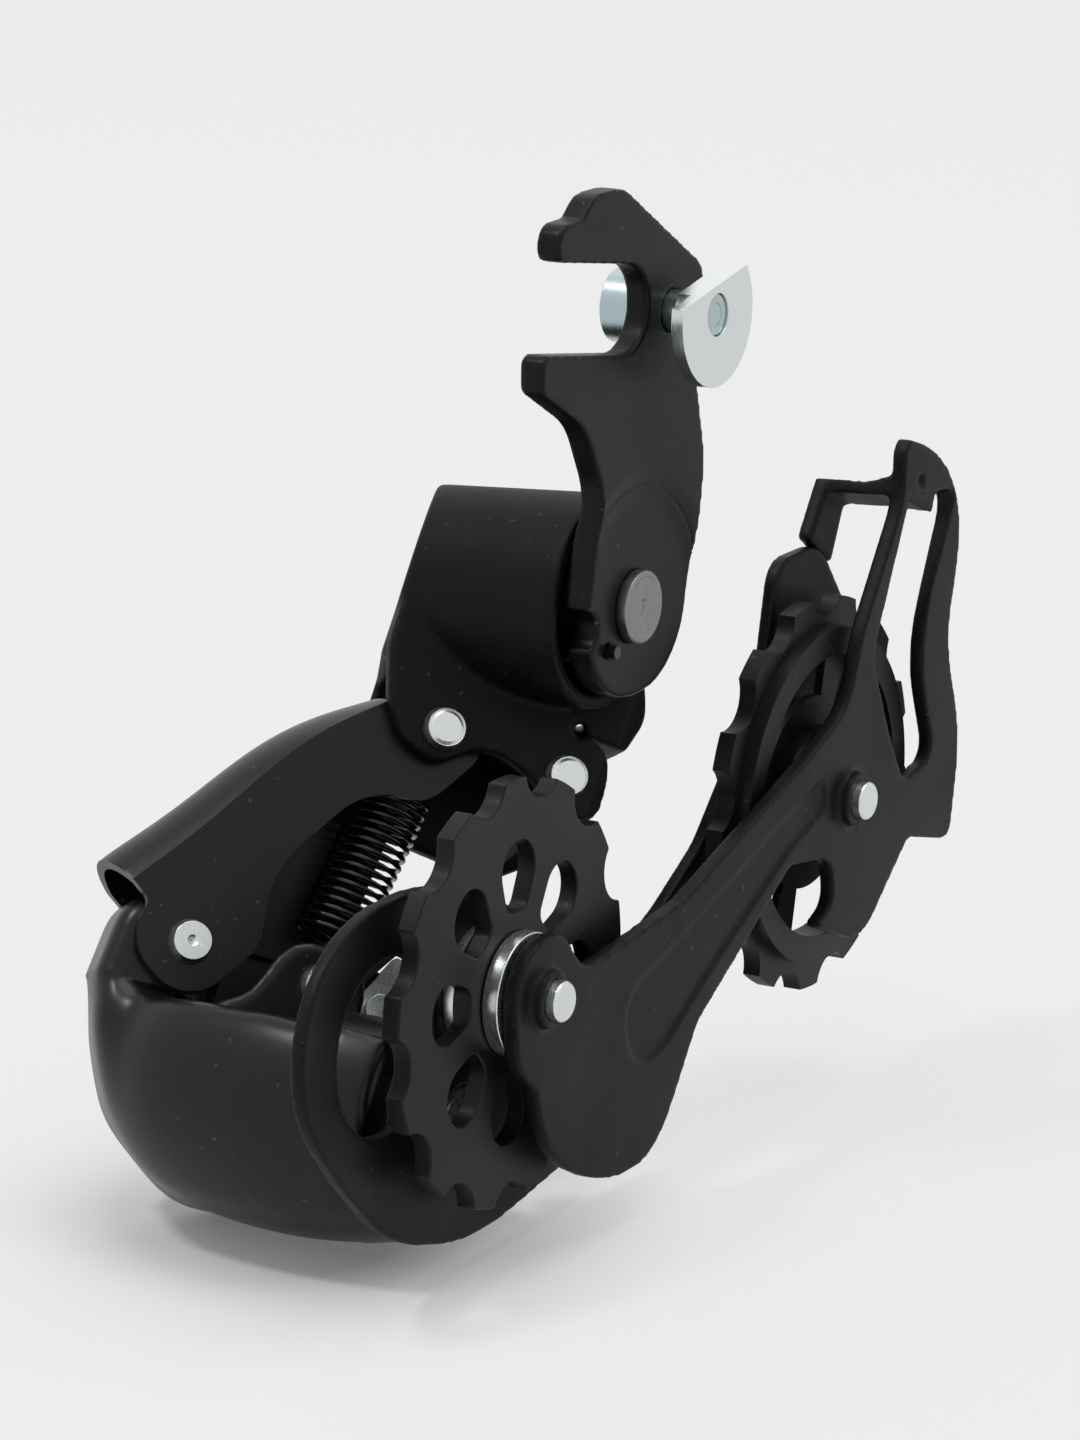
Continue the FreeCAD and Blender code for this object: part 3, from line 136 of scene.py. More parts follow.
# ---- sizes and colours a user would change ----
class DerailleurSizes(bpy.types.PropertyGroup):
    """Edge rounding, smoothing and wire sizes."""

    plate_edge: bpy.props.FloatProperty(
        name="Link edge", description="Rounding of the pressed links' edges",
        default=0.28 * MM, unit="LENGTH", precision=5,
    )
    sheet_grain: bpy.props.FloatProperty(
        name="Sheet grain", description="Cell size of the pressed plates' skin",
        default=0.36 * MM, unit="LENGTH", precision=5,
    )
    sheet_rounds: bpy.props.IntProperty(
        name="Sheet rounds", description="Smoothing passes that round the plates' edges",
        default=2, min=0,
    )
    bead_rounds: bpy.props.IntProperty(
        name="Bead rounds", description="Smoothing passes across the pressed bead",
        default=60, min=0,
    )
    resin_edge: bpy.props.FloatProperty(
        name="Pulley edge", description="Rounding of the moulded pulley teeth",
        default=0.35 * MM, unit="LENGTH", precision=5,
    )
    steel_edge: bpy.props.FloatProperty(
        name="Small steel edge", description="Rounding of pins, bolts and the nut plate",
        default=0.14 * MM, unit="LENGTH", precision=5,
    )
    casting_grain: bpy.props.FloatProperty(
        name="Casting grain", description="Cell size of the smoothed castings",
        default=0.42 * MM, unit="LENGTH", precision=5,
    )
    casting_rounds: bpy.props.IntProperty(
        name="Casting rounds", description="Smoothing passes that round the castings' edges",
        default=7, min=0,
    )
    outline_rounds: bpy.props.IntProperty(
        name="Outline rounds", description="Passes that even the cage plates' outlines",
        default=170, min=0,
    )
    crown_rounds: bpy.props.IntProperty(
        name="Crown rounds",
        description="Further passes that blend the lower knuckle's drum and shoulder",
        default=130, min=0,
    )
    wire: bpy.props.FloatProperty(
        name="Return spring wire", description="Wire diameter of the extension spring",
        default=0.66 * MM, unit="LENGTH", precision=5,
    )
    coil: bpy.props.FloatProperty(
        name="Return spring radius", description="Mean radius of the extension spring's coils",
        default=4.15 * MM, unit="LENGTH", precision=5,
    )
    turns: bpy.props.IntProperty(
        name="Return spring turns", description="Number of coils in the extension spring",
        default=17, min=3,
    )


class DerailleurColours(bpy.types.PropertyGroup):
    """Base colours of the finishes."""

    casting: bpy.props.FloatVectorProperty(
        name="Knuckle coat", description="Black coat of the castings, links, hanger and spring",
        default=(0.0045, 0.0044, 0.0045), subtype="COLOR", size=3,
    )
    plate: bpy.props.FloatVectorProperty(
        name="Plate coat", description="Satin black coat of the cage plates",
        default=(0.0062, 0.006, 0.006), subtype="COLOR", size=3,
    )
    resin: bpy.props.FloatVectorProperty(
        name="Pulley resin", description="Black nylon of the pulleys",
        default=(0.006, 0.006, 0.0062), subtype="COLOR", size=3,
    )
    zinc: bpy.props.FloatVectorProperty(
        name="Zinc plate", description="Bright plated steel",
        default=(0.74, 0.76, 0.775), subtype="COLOR", size=3,
    )
    cool_zinc: bpy.props.FloatVectorProperty(
        name="Blue zinc plate", description="Bluish plate of the fixing bolt",
        default=(0.46, 0.55, 0.58), subtype="COLOR", size=3,
    )
    plain_steel: bpy.props.FloatVectorProperty(
        name="Plain steel", description="Darker turned steel of the upper axle",
        default=(0.27, 0.275, 0.285), subtype="COLOR", size=3,
    )
    # Paler rim at the outer link's open end: partly rubbed paint, partly a painted highlight, kept
    # to the part of the rim that catches the light.
    worn: bpy.props.FloatVectorProperty(
        name="Worn edge", description="Bare, rubbed edge at the outer link's open end",
        default=(0.12, 0.115, 0.11), subtype="COLOR", size=3,
    )
    sheared: bpy.props.FloatVectorProperty(
        name="Sheared edge", description="Thin, worn coat on the cut edges of the plates",
        default=(0.012, 0.011, 0.0105), subtype="COLOR", size=3,
    )
    backdrop: bpy.props.FloatVectorProperty(
        name="Backdrop", description="Pale floor and backdrop",
        default=(0.85, 0.85, 0.85), subtype="COLOR", size=3,
    )


def sizes():
    return bpy.context.scene.derailleur_sizes


def colours():
    return bpy.context.scene.derailleur_colours


# ---- finishes ----
def shader_nodes(name):
    """New material with a plain shader, and the Object coordinates its patterns read."""
    material = bpy.data.materials.new(name)
    material.use_nodes = True
    tree = material.node_tree
    tree.nodes.clear()
    output = tree.nodes.new("ShaderNodeOutputMaterial")
    shader = tree.nodes.new("ShaderNodeBsdfPrincipled")
    tree.links.new(shader.outputs["BSDF"], output.inputs["Surface"])
    place = tree.nodes.new("ShaderNodeTexCoord")
    return material, tree, shader, place.outputs["Object"]


def noise(tree, place, scale, detail=3.0, stretch=None):
    """Noise on Object coordinates, scale in cells per metre, stretched per axis where asked."""
    if stretch:
        mapping = tree.nodes.new("ShaderNodeMapping")
        mapping.inputs["Scale"].default_value = stretch
        tree.links.new(place, mapping.inputs["Vector"])
        place = mapping.outputs["Vector"]
    texture = tree.nodes.new("ShaderNodeTexNoise")
    texture.inputs["Scale"].default_value = scale
    texture.inputs["Detail"].default_value = detail
    tree.links.new(place, texture.inputs["Vector"])
    return texture.outputs["Fac"]


def ramp(tree, value, low, high, start, end):
    """Maps value from low..high to start..end, clamped."""
    node = tree.nodes.new("ShaderNodeMapRange")
    node.inputs["From Min"].default_value = low
    node.inputs["From Max"].default_value = high
    node.inputs["To Min"].default_value = start
    node.inputs["To Max"].default_value = end
    tree.links.new(value, node.inputs["Value"])
    return node.outputs["Result"]


def mix(tree, factor, first, second):
    """Colour between first and second; a colour mix has its colours at sockets 6, 7 and 2."""
    node = tree.nodes.new("ShaderNodeMix")
    node.data_type = "RGBA"
    node.inputs[6].default_value = (*first, 1)
    node.inputs[7].default_value = (*second, 1)
    tree.links.new(factor, node.inputs[0])
    return node.outputs[2]


def math_of(tree, operation, first, second):
    """Output of a maths node on two sockets."""
    node = tree.nodes.new("ShaderNodeMath")
    node.operation = operation
    tree.links.new(first, node.inputs[0])
    tree.links.new(second, node.inputs[1])
    return node.outputs[0]


def bump(tree, shader, height, strength, distance):
    """Raises the shader's surface by a height pattern."""
    node = tree.nodes.new("ShaderNodeBump")
    node.inputs["Strength"].default_value = strength
    node.inputs["Distance"].default_value = distance
    tree.links.new(height, node.inputs["Height"])
    tree.links.new(node.outputs["Normal"], shader.inputs["Normal"])


# Noise patterns: cells per metre, stretch per axis, the part of the noise that shows, and
# bumps as (strength, height).
CLOUD_SPREAD = (0.3, 0.7)
DUST_CELLS, DUST_SPREAD = 1300.0, (0.82, 0.85)
DUST_GREY = (0.16, 0.16, 0.16)
SCRATCH_CELLS, SCRATCH_STRETCH, SCRATCH_SPREAD = 46.0, (13.0, 1.0, 1.7), (0.76, 0.79)
COAT_CLOUD_CELLS, COAT_GLOSSIER, COAT_DULLER = 60.0, 0.05, 0.07
PEEL_BUMP = (0.16, 0.02 * MM)
SHEAR_CELLS, SHEAR_STRETCH, SHEAR_ROUGH = 420.0, (1.0, 0.12, 1.0), (0.36, 0.58)
SHEAR_BUMP = (0.35, 0.04 * MM)
WEAR_CELLS, WEAR_SPREAD, WEAR_PALER = 160.0, (0.42, 0.72), 2.6
ZINC_CLOUD_CELLS = 240.0
COOL_TINT, WARM_TINT = (0.93, 0.98, 1.0), (1.0, 0.99, 0.93)
STREAK_CELLS, STREAK_STRETCH = 1500.0, (1.0, 5.0, 1.0)
STREAK_BUMP = (0.03, 0.02 * MM)


def black_coat(name, colour, rough, grain, dust, scratches):
    """Black coat on metal: cloudy gloss, fine orange peel, sparse pale dust, fine scratches."""
    material, tree, shader, place = shader_nodes(name)
    specks = ramp(tree, noise(tree, place, DUST_CELLS, 0.0), *DUST_SPREAD, 0.0, dust)
    strokes = noise(tree, place, SCRATCH_CELLS, 2.0, SCRATCH_STRETCH)
    marks = ramp(tree, strokes, *SCRATCH_SPREAD, 0.0, scratches)
    pale = math_of(tree, "MAXIMUM", specks, marks)
    tree.links.new(mix(tree, pale, tuple(colour), DUST_GREY), shader.inputs["Base Color"])
    cloud = noise(tree, place, COAT_CLOUD_CELLS, 5.0)
    sheen = ramp(tree, cloud, *CLOUD_SPREAD, rough - COAT_GLOSSIER, rough + COAT_DULLER)
    tree.links.new(sheen, shader.inputs["Roughness"])
    bump(tree, shader, noise(tree, place, grain, 4.0), *PEEL_BUMP)
    return material, shader


def sheared_edge(name, colour):
    """Cut edge of a plate: thin coat, drawn lines across the sheet and worn, paler patches."""
    material, tree, shader, place = shader_nodes(name)
    lines = noise(tree, place, SHEAR_CELLS, 3.0, SHEAR_STRETCH)
    wear = ramp(tree, noise(tree, place, WEAR_CELLS, 4.0), *WEAR_SPREAD, 0.0, 1.0)
    # Paler patches of rubbed coat; on the outer link's rim they lighten its painted highlight
    # further.
    worn = tuple(WEAR_PALER * channel for channel in colour)
    tree.links.new(mix(tree, wear, tuple(colour), worn), shader.inputs["Base Color"])
    rough = ramp(tree, lines, *CLOUD_SPREAD, *SHEAR_ROUGH)
    tree.links.new(rough, shader.inputs["Roughness"])
    bump(tree, shader, lines, *SHEAR_BUMP)
    return material


def tinted(colour, tint):
    """Colour times a tint, channel by channel."""
    return tuple(channel * factor for channel, factor in zip(colour, tint))


def zinc_coat(name, colour, glossy=0.24, dull=0.34):
    """Plated or turned steel: fine drawn streaks and faint warm and cool patches."""
    material, tree, shader, place = shader_nodes(name)
    cloud = noise(tree, place, ZINC_CLOUD_CELLS, 4.0)
    patches = mix(tree, cloud, tinted(colour, COOL_TINT), tinted(colour, WARM_TINT))
    tree.links.new(patches, shader.inputs["Base Color"])
    streaks = noise(tree, place, STREAK_CELLS, 2.0, STREAK_STRETCH)
    rough = ramp(tree, streaks, *CLOUD_SPREAD, glossy, dull)
    tree.links.new(rough, shader.inputs["Roughness"])
    bump(tree, shader, streaks, *STREAK_BUMP)
    shader.inputs["Metallic"].default_value = 1.0
    return material


FINISHES = {}
FINISH_OF_SLOT = {
    "black_paint": "casting", "black_cage": "plate", "zinc_steel": "zinc",
    "spring_wire": "wire", "black_resin": "resin",
}


def make_finishes():
    """Makes every finish and paints the CAD nodes, so those that stay are finished too."""
    tint = colours()
    # finish, material, colour, roughness, peel cells, dust, scratches, specular level
    coats = (
        ("casting", "casting_coat", tint.casting, 0.3, 700.0, 0.25, 0.0, 0.3),
        ("barrel", "barrel_coat", tint.casting, 0.5, 900.0, 0.2, 0.1, 0.13),
        ("bracket", "bracket_coat", tint.casting, 0.36, 1200.0, 0.3, 0.12, 0.16),
        ("plate", "plate_coat", tint.plate, 0.46, 1400.0, 0.3, 0.16, 0.14),
        ("resin", "pulley_resin", tint.resin, 0.42, 1000.0, 0.25, 0.1, 0.2),
        ("wire", "spring_wire", tint.casting, 0.2, 900.0, 0.1, 0.0, 0.5),
    )
    for key, name, colour, rough, grain, dust, scratches, gloss in coats:
        FINISHES[key], shader = black_coat(name, colour, rough, grain, dust, scratches)
        shader.inputs["Specular IOR Level"].default_value = gloss
    FINISHES["sheared"] = sheared_edge("sheared_edge", tint.sheared)
    # Paler coat on the rim of the outer link's open end: rubbed paint with a painted highlight.
    FINISHES["worn"] = sheared_edge("worn_edge", tint.worn)
    FINISHES["zinc"] = zinc_coat("zinc_plate", tint.zinc)
    FINISHES["cool_zinc"] = zinc_coat("cool_zinc_plate", tint.cool_zinc)
    FINISHES["steel"] = zinc_coat("plain_steel", tint.plain_steel, 0.34, 0.5)
    for node, slot in SLOTS.items():
        paint(frame["nodes"][node], FINISH_OF_SLOT[slot])


def paint(piece, finish):
    """Gives a piece one finish in place of its own."""
    piece.data.materials.clear()
    piece.data.materials.append(FINISHES[finish])


# ---- shaping ----
def body_with(node):
    """Name of the body that a CAD node rides on."""
    return next(body for body, nodes in BODIES.items() if node in nodes)


def node_form(node):
    """Merged copy of a CAD node's mesh with flat regions joined into single faces."""
    form = bmesh.new()
    form.from_mesh(frame["nodes"][node].data)
    bmesh.ops.remove_doubles(form, verts=form.verts, dist=CORNER_GAP)
    bmesh.ops.dissolve_limit(form, angle_limit=FLAT_ANGLE, verts=form.verts, edges=form.edges)
    return form


def add_piece(name, form, body, finish, stands_for):
    """New smooth object from a bmesh, which rides on a body and stands for its CAD nodes."""
    for face in form.faces:
        face.smooth = True
    mesh = bpy.data.meshes.new(name)
    form.to_mesh(mesh)
    form.free()
    piece = bpy.data.objects.new(name, mesh)
    bpy.context.scene.collection.objects.link(piece)
    paint(piece, finish)
    if body:
        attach(piece, body)
    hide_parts(*stands_for)
    return piece


def round_edges(piece, width, segments):
    """Rounds the sharp edges with live modifiers and keeps the flat sides' shading flat."""
    modifier = piece.modifiers.new("edges", "BEVEL")
    modifier.width = width
    modifier.segments = segments
    modifier.limit_method = "ANGLE"
    modifier.angle_limit = EDGE_ANGLE
    modifier.use_clamp_overlap = True
    evener = piece.modifiers.new("shading", "WEIGHTED_NORMAL")
    evener.mode = "FACE_AREA"
    evener.weight = FLAT_SHADING
    evener.keep_sharp = True


def edged_copy(node, finish, width, segments=2, form=None):
    """Copy of a CAD node with rounded edges, standing for the node."""
    form = form or node_form(node)
    piece = add_piece("fine_" + node, form, body_with(node), finish, [node])
    round_edges(piece, width, segments)
    return piece


def is_rim(edge):
    """True for an edge between a plate's flat side and its cut wall."""
    flat = [abs(face.normal.dot(WHEELWARD)) > FLAT_SIDE for face in edge.link_faces]
    return len(flat) == 2 and flat[0] != flat[1]


def rim_loops(form):
    """Closed runs of rim corners, and the rim corners beside each one."""
    beside = {}
    for edge in form.edges:
        if is_rim(edge):
            for vert in edge.verts:
                beside.setdefault(vert, []).append(edge.other_vert(vert))
    loops = []
    left = {vert for vert, others in beside.items() if len(others) == 2}
    while left:
        run, waiting = [], [min(left, key=lambda vert: vert.index)]
        while waiting:
            vert = waiting.pop()
            if vert in left:
                left.remove(vert)
                run.append(vert)
                waiting.extend(beside[vert])
        loops.append(run)
    return loops, beside


def ease_outline(form, where, rounds):
    """Evens the curve of a plate's outer outline where asked, leaving its windows as they are."""
    form.normal_update()
    for edge in [edge for edge in form.edges if is_rim(edge)]:
        cuts = int(edge.calc_length() / OUTLINE_STEP)
        if cuts:
            bmesh.ops.subdivide_edges(form, edges=[edge], cuts=cuts)
    form.normal_update()
    form.verts.index_update()
    loops, beside = rim_loops(form)
    loops.sort(key=len, reverse=True)
    eased = [vert for run in loops[:2] for vert in run if where(vert.co)]
    for _ in range(rounds):
        middles = [(beside[vert][0].co + beside[vert][1].co) / 2 for vert in eased]
        for vert, middle in zip(eased, middles):
            vert.co = vert.co.lerp(middle, 0.5)


def pressed_plate(node, finish, press=None, eased=(), rounds=0):
    """Sheet plate with an even skin, softly pressed, whose cut walls wear the sheared finish."""
    form = node_form(node)
    for where in eased:
        ease_outline(form, where, rounds)
    form = even_skin(form, sizes().sheet_grain)
    if press:
        press(form)
    smooth(form, form.verts, sizes().sheet_rounds)
    form.normal_update()
    for face in form.faces:
        face.material_index = int(abs(face.normal.dot(WHEELWARD)) < CUT_WALL)
    piece = add_piece("fine_" + node, form, body_with(node), finish, [node])
    piece.data.materials.append(FINISHES["sheared"])
    return piece


def press_dish(form):
    """Draws the step round the hanger's pivot out into a soft ramp of the same depth."""
    low, high = (Vector(corner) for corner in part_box("hanger_bracket"))
    pivot = Vector(JOINTS["upper_pivot"]["pos_m"])
    sheet = high.y - low.y - DISH_DEPTH
    for vert in form.verts:
        reach = math.hypot(vert.co.x - pivot.x, vert.co.z - pivot.z)
        share = min(max((DISH_RADIUS + DISH_RAMP - reach) / (2 * DISH_RAMP), 0), 1)
        share *= share * (3 - 2 * share)
        level = high.y - DISH_DEPTH * share
        lifted = vert.co.y + DISH_DEPTH * ((reach < DISH_RADIUS) - share)
        vert.co.y = min(max(lifted, level - sheet), level)


def press_bead(form):
    """Softens the bead pressed in the inner cage plate's wheelward side."""
    level = max(vert.co.y for vert in form.verts if abs(vert.co.x) < BEAD_HALF_LENGTH)
    beaded = [
        vert for vert in form.verts
        if vert.normal.y > BEAD_SLOPE
        and abs(vert.co.x) < BEAD_HALF_LENGTH
        and level - vert.co.y < BEAD_DEPTH
    ]
    for _ in range(sizes().bead_rounds):
        bmesh.ops.smooth_vert(form, verts=beaded, factor=0.5, use_axis_y=True)


def smooth(form, verts, rounds):
    """Moves corners towards the middle of their neighbours, some rounds over."""
    for _ in range(rounds):
        bmesh.ops.smooth_vert(
            form, verts=verts, factor=0.5, use_axis_x=True, use_axis_y=True, use_axis_z=True,
        )


def head_face(form, axis):
    """The largest face across an axis among those that lie farthest along it."""
    ends = [face for face in form.faces if face.normal.dot(axis) > SQUARE_ON]
    top = max(face.calc_center_median().dot(axis) for face in ends)
    ends = [face for face in ends if face.calc_center_median().dot(axis) > top - HEAD_GAP]
    return max(ends, key=lambda face: face.calc_area())


def ringed_head(node, finish, axis, steps):
    """Pin or bolt with a stepped head: (inset, drop) pairs from its rim to its middle."""
    form = node_form(node)
    form.normal_update()
    face = head_face(form, axis)
    for inset, drop in steps:
        bmesh.ops.inset_region(form, faces=[face], thickness=inset, use_even_offset=True)
        bmesh.ops.translate(form, verts=face.verts, vec=-drop * axis)
    return edged_copy(node, finish, sizes().steel_edge, 2, form)


def even_skin(form, grain):
    """The same closed form with an even skin of small square cells."""
    mesh = bpy.data.meshes.new("rough")
    form.to_mesh(mesh)
    form.free()
    rough = bpy.data.objects.new("rough", mesh)
    bpy.context.scene.collection.objects.link(rough)
    remesh = rough.modifiers.new("skin", "REMESH")
    remesh.mode = "VOXEL"
    remesh.voxel_size = grain
    remesh.adaptivity = 0.0
    skinned = rough.evaluated_get(bpy.context.evaluated_depsgraph_get()).to_mesh()
    form = bmesh.new()
    form.from_mesh(skinned)
    bpy.data.objects.remove(rough)
    form.normal_update()
    return form


def smooth_casting(node, finish, grain, rounds, soft_rounds=0, soft=None):
    """Cast copy of a CAD node: even skin, smoothed all over and further where soft says."""
    form = even_skin(node_form(node), grain)
    smooth(form, form.verts, rounds)
    if soft:
        smooth(form, [vert for vert in form.verts if soft(vert.co)], soft_rounds)
    return add_piece("fine_" + node, form, body_with(node), finish, [node])


def on_disc(point):
    """True round the outer cage plate's disc."""
    return point.x > DISC_FROM_X


def on_knee(point):
    """True round the inner cage plate's lower lobe."""
    return point.z < KNEE_TOP_Z and point.x > 0


def on_arm_top(point):
    """True at the top of the inner cage plate's chain arm."""
    return point.z > ARM_TOP_Z and point.x < ARM_TO_X


def under_deck(point):
    """True on the lower knuckle's closed end, away from the links' deck and the drum's mouth."""
    across = PIN_AXIS.cross((PIN_B - PIN_A).normalized())
    return (point - PIN_C).dot(across) < -DECK_DROP and point.y < DRUM_SOFT_Y


def axis_turn(direction):
    """Rotation that takes +Z onto a direction."""
    return Vector((0, 0, 1)).rotation_difference(direction).to_matrix().to_4x4()


def swept(form, section, axis, angle=0.0, steps=1, climb=(0, 0, 0), cent=(0, 0, 0), closed=False):
    """Carries a wire section round an axis, along it, or both; climb is the move at each step."""
    bmesh.ops.spin(
        form, geom=section, cent=cent, axis=axis, dvec=climb, angle=angle, steps=steps,
        use_merge=closed, use_duplicate=False,
    )


def wire_section(form, centre, normal, wire, sides=10):
    """Open ring across the wire, as geometry for a spin."""
    turn = Matrix.Translation(centre) @ axis_turn(normal)
    ring = bmesh.ops.create_circle(
        form, cap_ends=False, segments=sides, radius=wire / 2, matrix=turn,
    )
    verts = ring["verts"]
    edges = dict.fromkeys(edge for vert in verts for edge in vert.link_edges)
    return [*verts, *edges]


def spring_form(reach):
    """Extension spring along +Z: coils between two straight necks, each ending in a closed eye."""
    wire, radius, turns = sizes().wire, sizes().coil, sizes().turns
    pitch = (reach - 2 * SPRING_NECK) / turns
    eye = SPRING_PIN_RADIUS + wire / 2 + EYE_PLAY
    along_x, along_y, along_z = Vector((1, 0, 0)), Vector((0, 1, 0)), Vector((0, 0, 1))
    form = bmesh.new()
    coil = wire_section(form, Vector((radius, 0, SPRING_NECK)), along_y, wire)
    swept(
        form, coil, along_z, angle=2 * math.pi * turns, steps=COIL_STEPS * turns,
        climb=along_z * pitch / COIL_STEPS,
    )
    for height, side in ((0.0, 1), (reach, -1)):
        neck_end = height + side * SPRING_NECK
        ring = wire_section(form, Vector((eye, 0, height)), along_z, wire)
        swept(
            form, ring, along_y, angle=2 * math.pi, steps=EYE_STEPS, cent=along_z * height,
            closed=True,
        )
        stem = wire_section(form, along_z * (height + side * eye), along_z, wire)
        climb = along_z * side * (SPRING_NECK - eye) / LEG_STEPS
        swept(form, stem, along_x, steps=LEG_STEPS, climb=climb)
        arm = wire_section(form, along_z * neck_end, along_x, wire)
        swept(form, arm, along_z, steps=LEG_STEPS, climb=along_x * radius / LEG_STEPS)
    bmesh.ops.remove_doubles(form, verts=form.verts, dist=SEAM_GAP)
    open_ends = [edge for edge in form.edges if edge.is_boundary]
    bmesh.ops.holes_fill(form, edges=open_ends, sides=12)
    bmesh.ops.recalc_face_normals(form, faces=form.faces)
    return form


# ---- one operator per piece or group of like pieces ----
class PieceOperator:
    """Shared base: every operator runs to the end or raises."""

    bl_options = {"REGISTER", "UNDO"}


class DERAILLEUR_OT_finishes(PieceOperator, bpy.types.Operator):
    """Makes the finishes and paints every CAD node"""

    bl_idname = "derailleur.finishes"
    bl_label = "Finishes"

    def execute(self, context):
        make_finishes()
        return {"FINISHED"}


class DERAILLEUR_OT_hanger(PieceOperator, bpy.types.Operator):
    """Claw bracket with the pressed step round its pivot"""

    bl_idname = "derailleur.hanger"
    bl_label = "Hanger bracket"

    def execute(self, context):
        pressed_plate("hanger_bracket", "bracket", press_dish)
        return {"FINISHED"}


class DERAILLEUR_OT_fixing(PieceOperator, bpy.types.Operator):
    """Fixing bolt and nut plate"""

    bl_idname = "derailleur.fixing"
    bl_label = "Fixing bolt and nut"

    def execute(self, context):
        edged_copy("hanger_nut", "zinc", sizes().steel_edge)
        turned = (
            (0.45 * MM, 0.0), (0.2 * MM, 0.2 * MM), (0.35 * MM, 0.0), (0.2 * MM, -0.15 * MM),
        )
        ringed_head("hanger_bolt", "cool_zinc", WHEELWARD, turned)
        return {"FINISHED"}


class DERAILLEUR_OT_castings(PieceOperator, bpy.types.Operator):
    """Upper and lower knuckle as smooth castings"""

    bl_idname = "derailleur.castings"
    bl_label = "Knuckles"

    def execute(self, context):
        grain, rounds = sizes().casting_grain, sizes().casting_rounds
        smooth_casting("b_knuckle", "barrel", grain, rounds)
        smooth_casting("p_knuckle", "casting", grain, 2 * rounds, sizes().crown_rounds, under_deck)
        return {"FINISHED"}


class DERAILLEUR_OT_links(PieceOperator, bpy.types.Operator):
    """Inner and outer link with rounded edges, the outer one with a paler rim at its open end:
    rubbed paint with a painted highlight
    """

    bl_idname = "derailleur.links"
    bl_label = "Links"

    def execute(self, context):
        edged_copy("inner_link", "casting", sizes().plate_edge, 3)
        form = node_form("outer_link")
        form.normal_update()
        along = (PIN_C - PIN_A).normalized()
        near = max(vert.co.dot(PIN_AXIS) for vert in form.verts) - LINK_SHEET
        # The open end's faces below the outermost sheet get the paler rim finish: rubbed paint
        # with a painted highlight.
        for face in form.faces:
            inside = face.calc_center_median().dot(PIN_AXIS) < near
            face.material_index = int(inside and face.normal.dot(along) > OPEN_END)
        piece = edged_copy("outer_link", "casting", sizes().plate_edge, 3, form)
        piece.data.materials.append(FINISHES["worn"])
        return {"FINISHED"}


class DERAILLEUR_OT_pins(PieceOperator, bpy.types.Operator):
    """Link pins and the upper axle with ringed heads"""

    bl_idname = "derailleur.pins"
    bl_label = "Pins and axle"

    def execute(self, context):
        domed = ((0.0, 0.35 * MM), (0.55 * MM, -0.35 * MM), (0.25 * MM, 0.06 * MM))
        for node in ("upper_outer_pin", "upper_inner_pin", "lower_inner_pin"):
            ringed_head(node, "zinc", PIN_AXIS, domed)
        edged_copy("lower_outer_pin", "zinc", 2 * sizes().steel_edge, 3)
        punched = (
            (0.4 * MM, 0.0), (0.12 * MM, 0.1 * MM), (2.6 * MM, 0.0), (0.35 * MM, 0.35 * MM),
        )
        ringed_head("b_axle", "steel", WHEELWARD, punched)
        return {"FINISHED"}


class DERAILLEUR_OT_clamp(PieceOperator, bpy.types.Operator):
    """Cable clamp plate and bolt"""

    bl_idname = "derailleur.clamp"
    bl_label = "Cable clamp"

    def execute(self, context):
        for node in ("cable_clamp_plate", "cable_clamp_bolt"):
            edged_copy(node, "zinc", sizes().steel_edge)
        return {"FINISHED"}


class DERAILLEUR_OT_return_spring(PieceOperator, bpy.types.Operator):
    """Extension spring between the two pins of the short diagonal"""

    bl_idname = "derailleur.return_spring"
    bl_label = "Return spring"

    def execute(self, context):
        low, high = (Vector(corner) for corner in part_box("return_spring"))
        depth = ((low + high) / 2 - (PIN_A + PIN_D) / 2).dot(PIN_AXIS)
        start = PIN_A + PIN_AXIS * depth
        end = PIN_D + PIN_AXIS * depth
        along = (end - start).normalized()
        form = spring_form((end - start).length)
        across = PIN_AXIS.cross(along).normalized()
        turn = Matrix((across, PIN_AXIS, along)).transposed().to_4x4()
        place = Matrix.Translation(start) @ turn
        bmesh.ops.transform(form, matrix=place, verts=form.verts)
        piece = add_piece(
            "fine_return_spring", form, None, "wire", ["return_spring"],
        )
        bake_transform(piece)
        return {"FINISHED"}


class DERAILLEUR_OT_cage(PieceOperator, bpy.types.Operator):
    """Cage plates with evened outlines, sheared edges and the pressed bead"""

    bl_idname = "derailleur.cage"
    bl_label = "Cage plates"

    def execute(self, context):
        rounds = sizes().outline_rounds
        pressed_plate("inner_cage_plate", "plate", press_bead, (on_knee, on_arm_top), rounds)
        pressed_plate("outer_cage_plate", "plate", None, (on_disc,), rounds)
        return {"FINISHED"}


class DERAILLEUR_OT_pulleys(PieceOperator, bpy.types.Operator):
    """Toothed pulleys with moulded edges"""

    bl_idname = "derailleur.pulleys"
    bl_label = "Pulleys"

    def execute(self, context):
        for node in ("guide_pulley", "tension_pulley"):
            edged_copy(node, "resin", sizes().resin_edge, 3)
        return {"FINISHED"}


class DERAILLEUR_OT_pulley_fittings(PieceOperator, bpy.types.Operator):
    """Caps and bolts of both pulleys, the cage axle and its stop pin"""

    bl_idname = "derailleur.pulley_fittings"
    bl_label = "Pulley fittings"

    def execute(self, context):
        for pulley in ("guide", "tension"):
            for part in ("_inner_cap", "_outer_cap", "_bolt"):
                edged_copy(pulley + part, "zinc", sizes().steel_edge)
        for node in ("p_axle", "cage_stop_pin"):
            edged_copy(node, "zinc", sizes().steel_edge)
        return {"FINISHED"}


